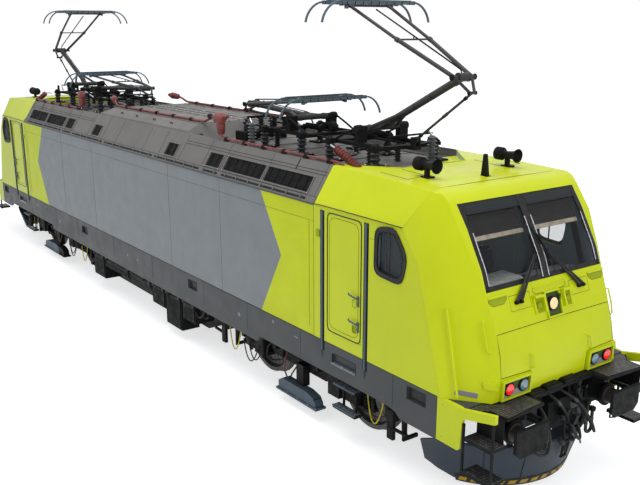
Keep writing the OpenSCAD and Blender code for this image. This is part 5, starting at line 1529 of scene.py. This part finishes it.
def build_ends():
    kit = Kit()
    # Buffer: ringed barrel, stepped sleeve, bolts round its flange and the plate's rolled edge
    y = BUFFER_Y
    kit.turned((9.405, y, BUFFER_Z), BACK,
               [(0, 0.098), (0.02, 0.101), (0.2, 0.101), (0.21, 0.112), (0.232, 0.112)],
               "grease_brown", 32)
    kit.turned((9.182, y, BUFFER_Z), BACK,
               [(0, 0.152), (0.02, 0.154), (0.03, 0.148), (0.05, 0.128), (0.18, 0.126),
                (0.19, 0.134), (0.225, 0.134)], BLACK, 32)
    for k in range(4):
        kit.loop(circle(y, BUFFER_Z, 0.128, 28), 0, 9.155 - 0.03 * k, 0.006, BLACK, 5)
    kit.box((8.957, y - 0.2, 0.88), (8.985, y + 0.2, 1.22), BLACK)
    for dy in (-0.165, 0.165):
        for dz in (-0.135, 0.135):
            kit.turned((8.984, y + dy, BUFFER_Z + dz), AHEAD,
                       [(0, 0.026), (0.022, 0.024), (0.026, 0.014)], BOLT, 6)
    face = [(0.6, 0.9), (0.6, 1.215), (0.61, 1.222), (1.14, 1.222), (1.15, 1.215), (1.15, 0.965),
            (1.06, 0.882), (0.69, 0.882)]
    kit.loop(face, 0, 9.425, 0.012, BLACK)
    # Chequer plates on the platform with their rolled rims
    top = 1.4045
    plate = [(8.96, 0.62), (9.33, 0.62), (9.385, 1.24), (9.16, 1.25), (9.03, 1.395), (8.96, 1.4)]
    kit.plate(plate, 2, top, top + 0.008, "chequer_black")
    kit.tube([(9.34, 0.6, top), (9.392, 1.25, top), (9.16, 1.26, top), (9.03, 1.41, top)], 0.011,
             BLACK, 6)
    kit.box((8.96, 1.41, top), (9.02, 1.437, 1.412), "yellow")
    # Raised lids over the draw gear
    kit.box((8.96, 0.03, top), (9.155, 0.3, top + 0.035), BLACK)
    kit.box((8.96, 0.33, top), (9.15, 0.585, top + 0.018), BLACK)
    kit.box((8.985, 0.05, top + 0.035), (9.13, 0.28, top + 0.042), BLACK)
    # Dark plate behind the corner ladder, down to its upper tread, with a gusset below it
    kit.box((8.965, 1.262, 1.085), (9.365, 1.272, 1.385), BLACK)
    kit.slab([(8.99, 1.3, 1.045), (9.34, 1.3, 1.045), (9.17, 1.3, 0.93)], (0, 0.01, 0), BLACK)
    # Brackets and struts under the platform
    for y in (0.64, 1.18):
        kit.slab([(8.957, y, 1.1), (8.957, y, 1.365), (9.32, y, 1.365), (9.3, y, 1.345)],
                 (0, 0.012, 0), BLACK)
    # Yellow dashes on the black foot band of the deflector, and its end stiffeners
    cx, slope_r = 7.96, 0.18 / 0.6

    def guard(a, z, out):
        """A point on the deflector's outside, at an angle and a height."""
        r = 1.07 + (z - 0.1) * slope_r + out
        return (cx + r * math.cos(a), r * math.sin(a), z)
    steps = 40
    for k in range(steps):
        a0, a1 = [math.radians(66) * t / steps for t in (k, k + 1)]
        kit.lay(guard, rect(a0, a1, 0.101, 0.205), -0.002, 0.004, SEAL)
    for k in range(8):
        a0 = math.radians(3 + k * 8.0)
        a1, lean = a0 + math.radians(5.0), math.radians(-1.2)
        dash = [(a0, 0.126), (a1, 0.126), (a1 + lean, 0.182), (a0 + lean, 0.182)]
        kit.lay(guard, dash, 0.003, 0.008, "stripe_yellow")
    kit.tube([guard(math.radians(t), 0.7, -0.018) for t in range(0, 74, 4)], 0.02, "guard_blue", 8)
    for t in (24, 48):
        kit.tube([guard(math.radians(t), 0.2, 0.001), guard(math.radians(t), 0.68, 0.001)], 0.005,
                 GROOVE, 4)
    # Cocks, cable sockets and jumper boxes on the headstock
    kit.box((8.957, 0.25, 1.16), (9.04, 0.46, 1.33), BLACK)
    kit.turned((9.03, 0.355, 1.25), (1, 0, -0.4),
               [(0, 0.05), (0.06, 0.056), (0.07, 0.05), (0.09, 0.05)], BLACK, 16)
    kit.tube([(9.08, 0.355, 1.22), (9.2, 0.36, 1.1), (9.26, 0.33, 0.88), (9.22, 0.25, 0.74),
              (9.12, 0.18, 0.76), (9.0, 0.15, 0.92)], 0.018, HOSE, 10)
    kit.box((8.957, 0.48, 1.02), (9.0, 0.6, 1.14), BLACK)
    for z in (1.3, 1.16):
        kit.tube([(8.957, 0.62, z), (9.04, 0.62, z), (9.04, 0.66, z + 0.05)], 0.01, BOLT, 6)
    kit.mirrored(1)
    # Hose bodies: sleeves, crimps and metal heads on each hanging hose
    for y in (-0.48, 0.37):
        for k in (0, 1):
            yy = y + k * 0.11
            for z, r in ((0.98, 0.026), (0.84, 0.0225), (0.8, 0.0225)):
                kit.turned((9.255, yy, z), UP, [(0, r), (0.02, r + 0.004), (0.03, r)], BOLT, 12)
            kit.turned((9.225, yy, 1.11 - k * 0.12), AHEAD,
                       [(0, 0.034), (0.02, 0.04), (0.05, 0.04), (0.06, 0.03)], BLACK, 14)
    loops = (((9.06, -0.16, 1.3), (9.22, -0.1, 1.18), (9.31, 0.02, 0.92), (9.32, 0.14, 0.72),
              (9.28, 0.24, 0.7), (9.2, 0.27, 0.84), (9.06, 0.26, 1.02)),
             ((9.06, 0.08, 1.28), (9.24, 0.2, 1.15), (9.33, 0.34, 0.92), (9.33, 0.44, 0.74),
              (9.28, 0.5, 0.71), (9.2, 0.5, 0.82), (9.04, 0.48, 0.98)),
             ((9.02, -0.7, 0.98), (9.14, -0.66, 0.84), (9.26, -0.52, 0.68), (9.28, -0.38, 0.66),
              (9.22, -0.28, 0.76), (9.05, -0.22, 0.95)))
    for path in loops:
        curve = [Vector(p) for p in path]
        fine = []
        for p0, p1, p2, p3 in zip(curve[:1] + curve, curve, curve[1:], curve[2:] + curve[-1:]):
            for t in (0, 0.25, 0.5, 0.75):
                bend = (2 * p0 - 5 * p1 + 4 * p2 - p3) * t * t
                swing = (3 * p1 - p0 - 3 * p2 + p3) * t ** 3
                fine.append(0.5 * (2 * p1 + (p2 - p0) * t + bend + swing))
        fine.append(curve[-1])
        kit.tube(fine, 0.019, HOSE, 10)
        for i in (3, len(fine) - 4):
            ahead = fine[i + 1] - fine[i]
            kit.turned(fine[i], ahead, [(0, 0.022), (0.01, 0.025), (0.05, 0.025), (0.06, 0.021)],
                       BOLT, 12)
    # Screw coupling: threads, shackle eyes and the hook's rounded flanks
    for k in range(9):
        z = 0.7 - k * 0.018
        kit.turned((9.252 - 0.0018 * k, 0, z), UP, [(0, 0.022), (0.006, 0.029), (0.012, 0.022)],
                   BOLT, 12)
    for s in (-1, 1):
        kit.turned((9.24, s * 0.078, 1.025), (0, s, 0),
                   [(0, 0.036), (0.018, 0.036), (0.022, 0.024)], BOLT, 14)
        kit.turned((9.27, s * 0.088, 0.71), (0, s, 0), [(0, 0.038), (0.018, 0.038), (0.022, 0.024)],
                   BOLT, 14)
    kit.tube([(9.27, 0.11, 0.71), (9.3, 0.2, 0.7), (9.3, 0.23, 0.62)], 0.012, BOLT, 8)
    kit.mirrored(0)
    kit.build("end_details", bevel=0.003)


build_ends()

# ---------------------------------------------------------------- inside the cabs


def cushion(name, centre, size, tilt, crown=0.035):
    """A padded cushion with pulled-in sides and two sewn channels, tilted about y."""
    bm = bmesh.new()
    n = 14
    sx, sy, sz = (s / 2 for s in size)

    def height(u, v):
        edge = (1 - abs(u) ** 4) * (1 - abs(v) ** 4)
        seam = math.exp(-((abs(v) - 0.52) / 0.05) ** 2)
        return max(edge, 0) ** 0.5 * (sz + crown * (1 - u * u) * (1 - v * v)) - 0.01 * seam * edge
    for side in (1, -1):
        rows = []
        for i in range(n + 1):
            u = -1 + 2 * i / n
            row = []
            for j in range(n + 1):
                v = -1 + 2 * j / n
                pull = 1 - 0.03 * (1 - abs(u)) if abs(v) == 1 else 1
                z = height(u, v) * side if 0 < i < n and 0 < j < n else 0
                row.append(bm.verts.new((u * sx * (1 - 0.02 * (1 - v * v) * (abs(u) == 1)),
                                         v * sy * pull, z)))
            rows.append(row)
        for i in range(n):
            for j in range(n):
                quad = [rows[i][j], rows[i + 1][j], rows[i + 1][j + 1], rows[i][j + 1]]
                bm.faces.new(quad if side > 0 else quad[::-1])
    bmesh.ops.remove_doubles(bm, verts=bm.verts[:], dist=0.0005)
    bm.transform(Matrix.Translation(centre) @ Matrix.Rotation(math.radians(tilt), 4, "Y"))
    for f in bm.faces:
        f.smooth = True
    piece = link_mesh(bm, name, ["seat_fabric"])
    mod = piece.modifiers.new("round", "SUBSURF")
    mod.levels = mod.render_levels = 1
    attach(piece, "body")
    return piece


def build_seats():
    kit = Kit()
    for e, end in ((1, "front"), (-1, "rear")):
        for s, side in ((1, "left"), (-1, "right")):
            x, y = 7.43, s * 0.62
            cushion(f"seat_{end}_{side}", (e * (x + 0.025), y, 1.905),
                                 (0.48, 0.46, 0.085), 0)
            cushion(f"seat_back_{end}_{side}", (e * (x - 0.215), y, 2.275), (0.66, 0.44, 0.08),
                    e * 81)
    for y in (-0.62, 0.62):
        kit.turned((7.43, y, 1.426), UP,
                   [(0, 0.078), (0.02, 0.076), (0.03, 0.06), (0.2, 0.055), (0.21, 0.07),
                    (0.35, 0.07)], BLACK, 24)
        kit.box((7.22, y - 0.225, 1.79), (7.69, y + 0.225, 1.815), BLACK)
        kit.slab([(7.2, y - 0.21, 1.93), (7.08, y - 0.2, 2.58), (7.08, y + 0.2, 2.58),
                  (7.2, y + 0.21, 1.93)], (0.02, 0, 0.003), SEAL)
        for s in (-1, 1):
            kit.box((7.25, y + s * 0.235 - 0.02, 2.06), (7.55, y + s * 0.235 + 0.02, 2.1), SEAL)
            kit.box((7.25, y + s * 0.235 - 0.012, 1.84), (7.29, y + s * 0.235 + 0.012, 2.06), BLACK)
    kit.mirrored(0)
    kit.build("seat_frames")
    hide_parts("driver_seats")


def build_cab_inside():
    """Desk top, screens, levers, edge roll and the wall lockers of each cab."""
    kit = Kit()
    kit.tube([(8.02, -1.25, 2.36), (8.1, -0.9, 2.375), (8.1, -0.3, 2.375), (8.02, 0.0, 2.36),
              (8.1, 0.3, 2.375), (8.1, 1.25, 2.375)], 0.024, SEAL, 10)
    for y in (-0.95, -0.55, -0.15):
        kit.slab([(8.36, y - 0.16, 2.44), (8.46, y - 0.16, 2.62), (8.46, y + 0.16, 2.62),
                  (8.36, y + 0.16, 2.44)], (0.04, 0, -0.02), SEAL)
        kit.slab([(8.367, y - 0.14, 2.458), (8.449, y - 0.14, 2.605), (8.449, y + 0.14, 2.605),
                  (8.367, y + 0.14, 2.458)], (-0.006, 0, 0.003), "blue_lamp")
    for y in (-0.85, -0.3):
        kit.tube([(8.16, y, 2.385), (8.15, y, 2.46), (8.14, y, 2.5)], [0.012, 0.012, 0.024], SEAL,
                 10)
    for k in range(12):
        kit.turned((8.22, -0.8 + 0.055 * k, 2.408), UP, [(0, 0.014), (0.01, 0.012)],
                   ("stripe_yellow", "red_lamp", "plate_grey")[k % 3], 10)
    # Dash shelf under the glass, the driver's raised console and its dark edge
    kit.slab([(8.7, -1.1, 2.59), (8.06, -1.12, 2.47), (8.06, 1.12, 2.47), (8.7, 1.1, 2.59)],
             (0, 0, -0.03), "desk_plastic")
    kit.slab([(8.06, -1.12, 2.47), (8.09, -1.12, 2.36), (8.09, 1.12, 2.36), (8.06, 1.12, 2.47)],
             (0.02, 0, 0), "desk_plastic")
    kit.tube([(8.05, -1.12, 2.465), (8.05, 1.12, 2.465)], 0.02, SEAL, 10)
    kit.solid([(8.62, -0.86, 2.57), (8.12, -0.9, 2.47), (8.1, -0.06, 2.47), (8.6, -0.1, 2.57)],
              [(8.56, -0.78, 2.625), (8.22, -0.82, 2.6), (8.2, -0.14, 2.64), (8.54, -0.18, 2.655)],
              "desk_plastic")
    kit.tube([(8.14, -0.88, 2.545), (8.18, -0.6, 2.6), (8.17, -0.35, 2.63), (8.13, -0.08, 2.6)],
             0.016, SEAL, 8)
    # Grey door frame and lockers on the bulkhead, in the lining's colour lightened as painted light
    for y0, y1 in ((-1.1, -0.42), (-0.38, 0.38), (0.42, 1.1)):
        kit.box((6.242, y0, 1.45), (6.256, y1, 3.36), "cab_lining")
        kit.loop(rect(y0 + 0.03, y1 - 0.03, 1.5, 3.3), 0, 6.258, 0.006, SEAL)
    kit.turned((6.256, 0.3, 2.3), AHEAD, [(0, 0.03), (0.01, 0.03), (0.05, 0.012), (0.06, 0.02)],
               "chrome", 14)
    kit.mirrored(0)
    kit.build("cab_inside")


build_seats()
build_cab_inside()

# ---------------------------------------------------------------- rounded copies of the CAD nodes


def cab_finish(c, n):
    """Lining on the inner faces of a cab's shell, its own blue-grey lightened as painted light for
    the dim cab.
    """
    return "cab_lining" if n.dot(c - Vector((math.copysign(7.4, c.x), 0, 2.4))) < 0 else None


for name in ("cab_noses", "cab_roofs", "cab_sides"):
    crisp(name, 0.004, cab_finish)
for name in ("corner_skirts", "machine_roof", "side_wall_left", "side_wall_right", "underframe"):
    crisp(name, 0.004)
crisp("rail_guards", 0.006, lambda c, n: "guard_blue")
for name in ("buffers", "couplers", "underfloor_boxes", "transformer", "steps", "pantograph_frames",
             "driver_desks"):
    crisp(name, 0.006)
for name in ("front", "rear"):
    for part in ("bogie_frame", "bogie_suspension", "traction_motors"):
        crisp(f"{part}_{name}", 0.008)
    crisp(f"bogie_fittings_{name}", 0.006)
crisp("handrails", 0.0, lambda c, n: "yellow" if abs(c.x) > 8.3 else None)
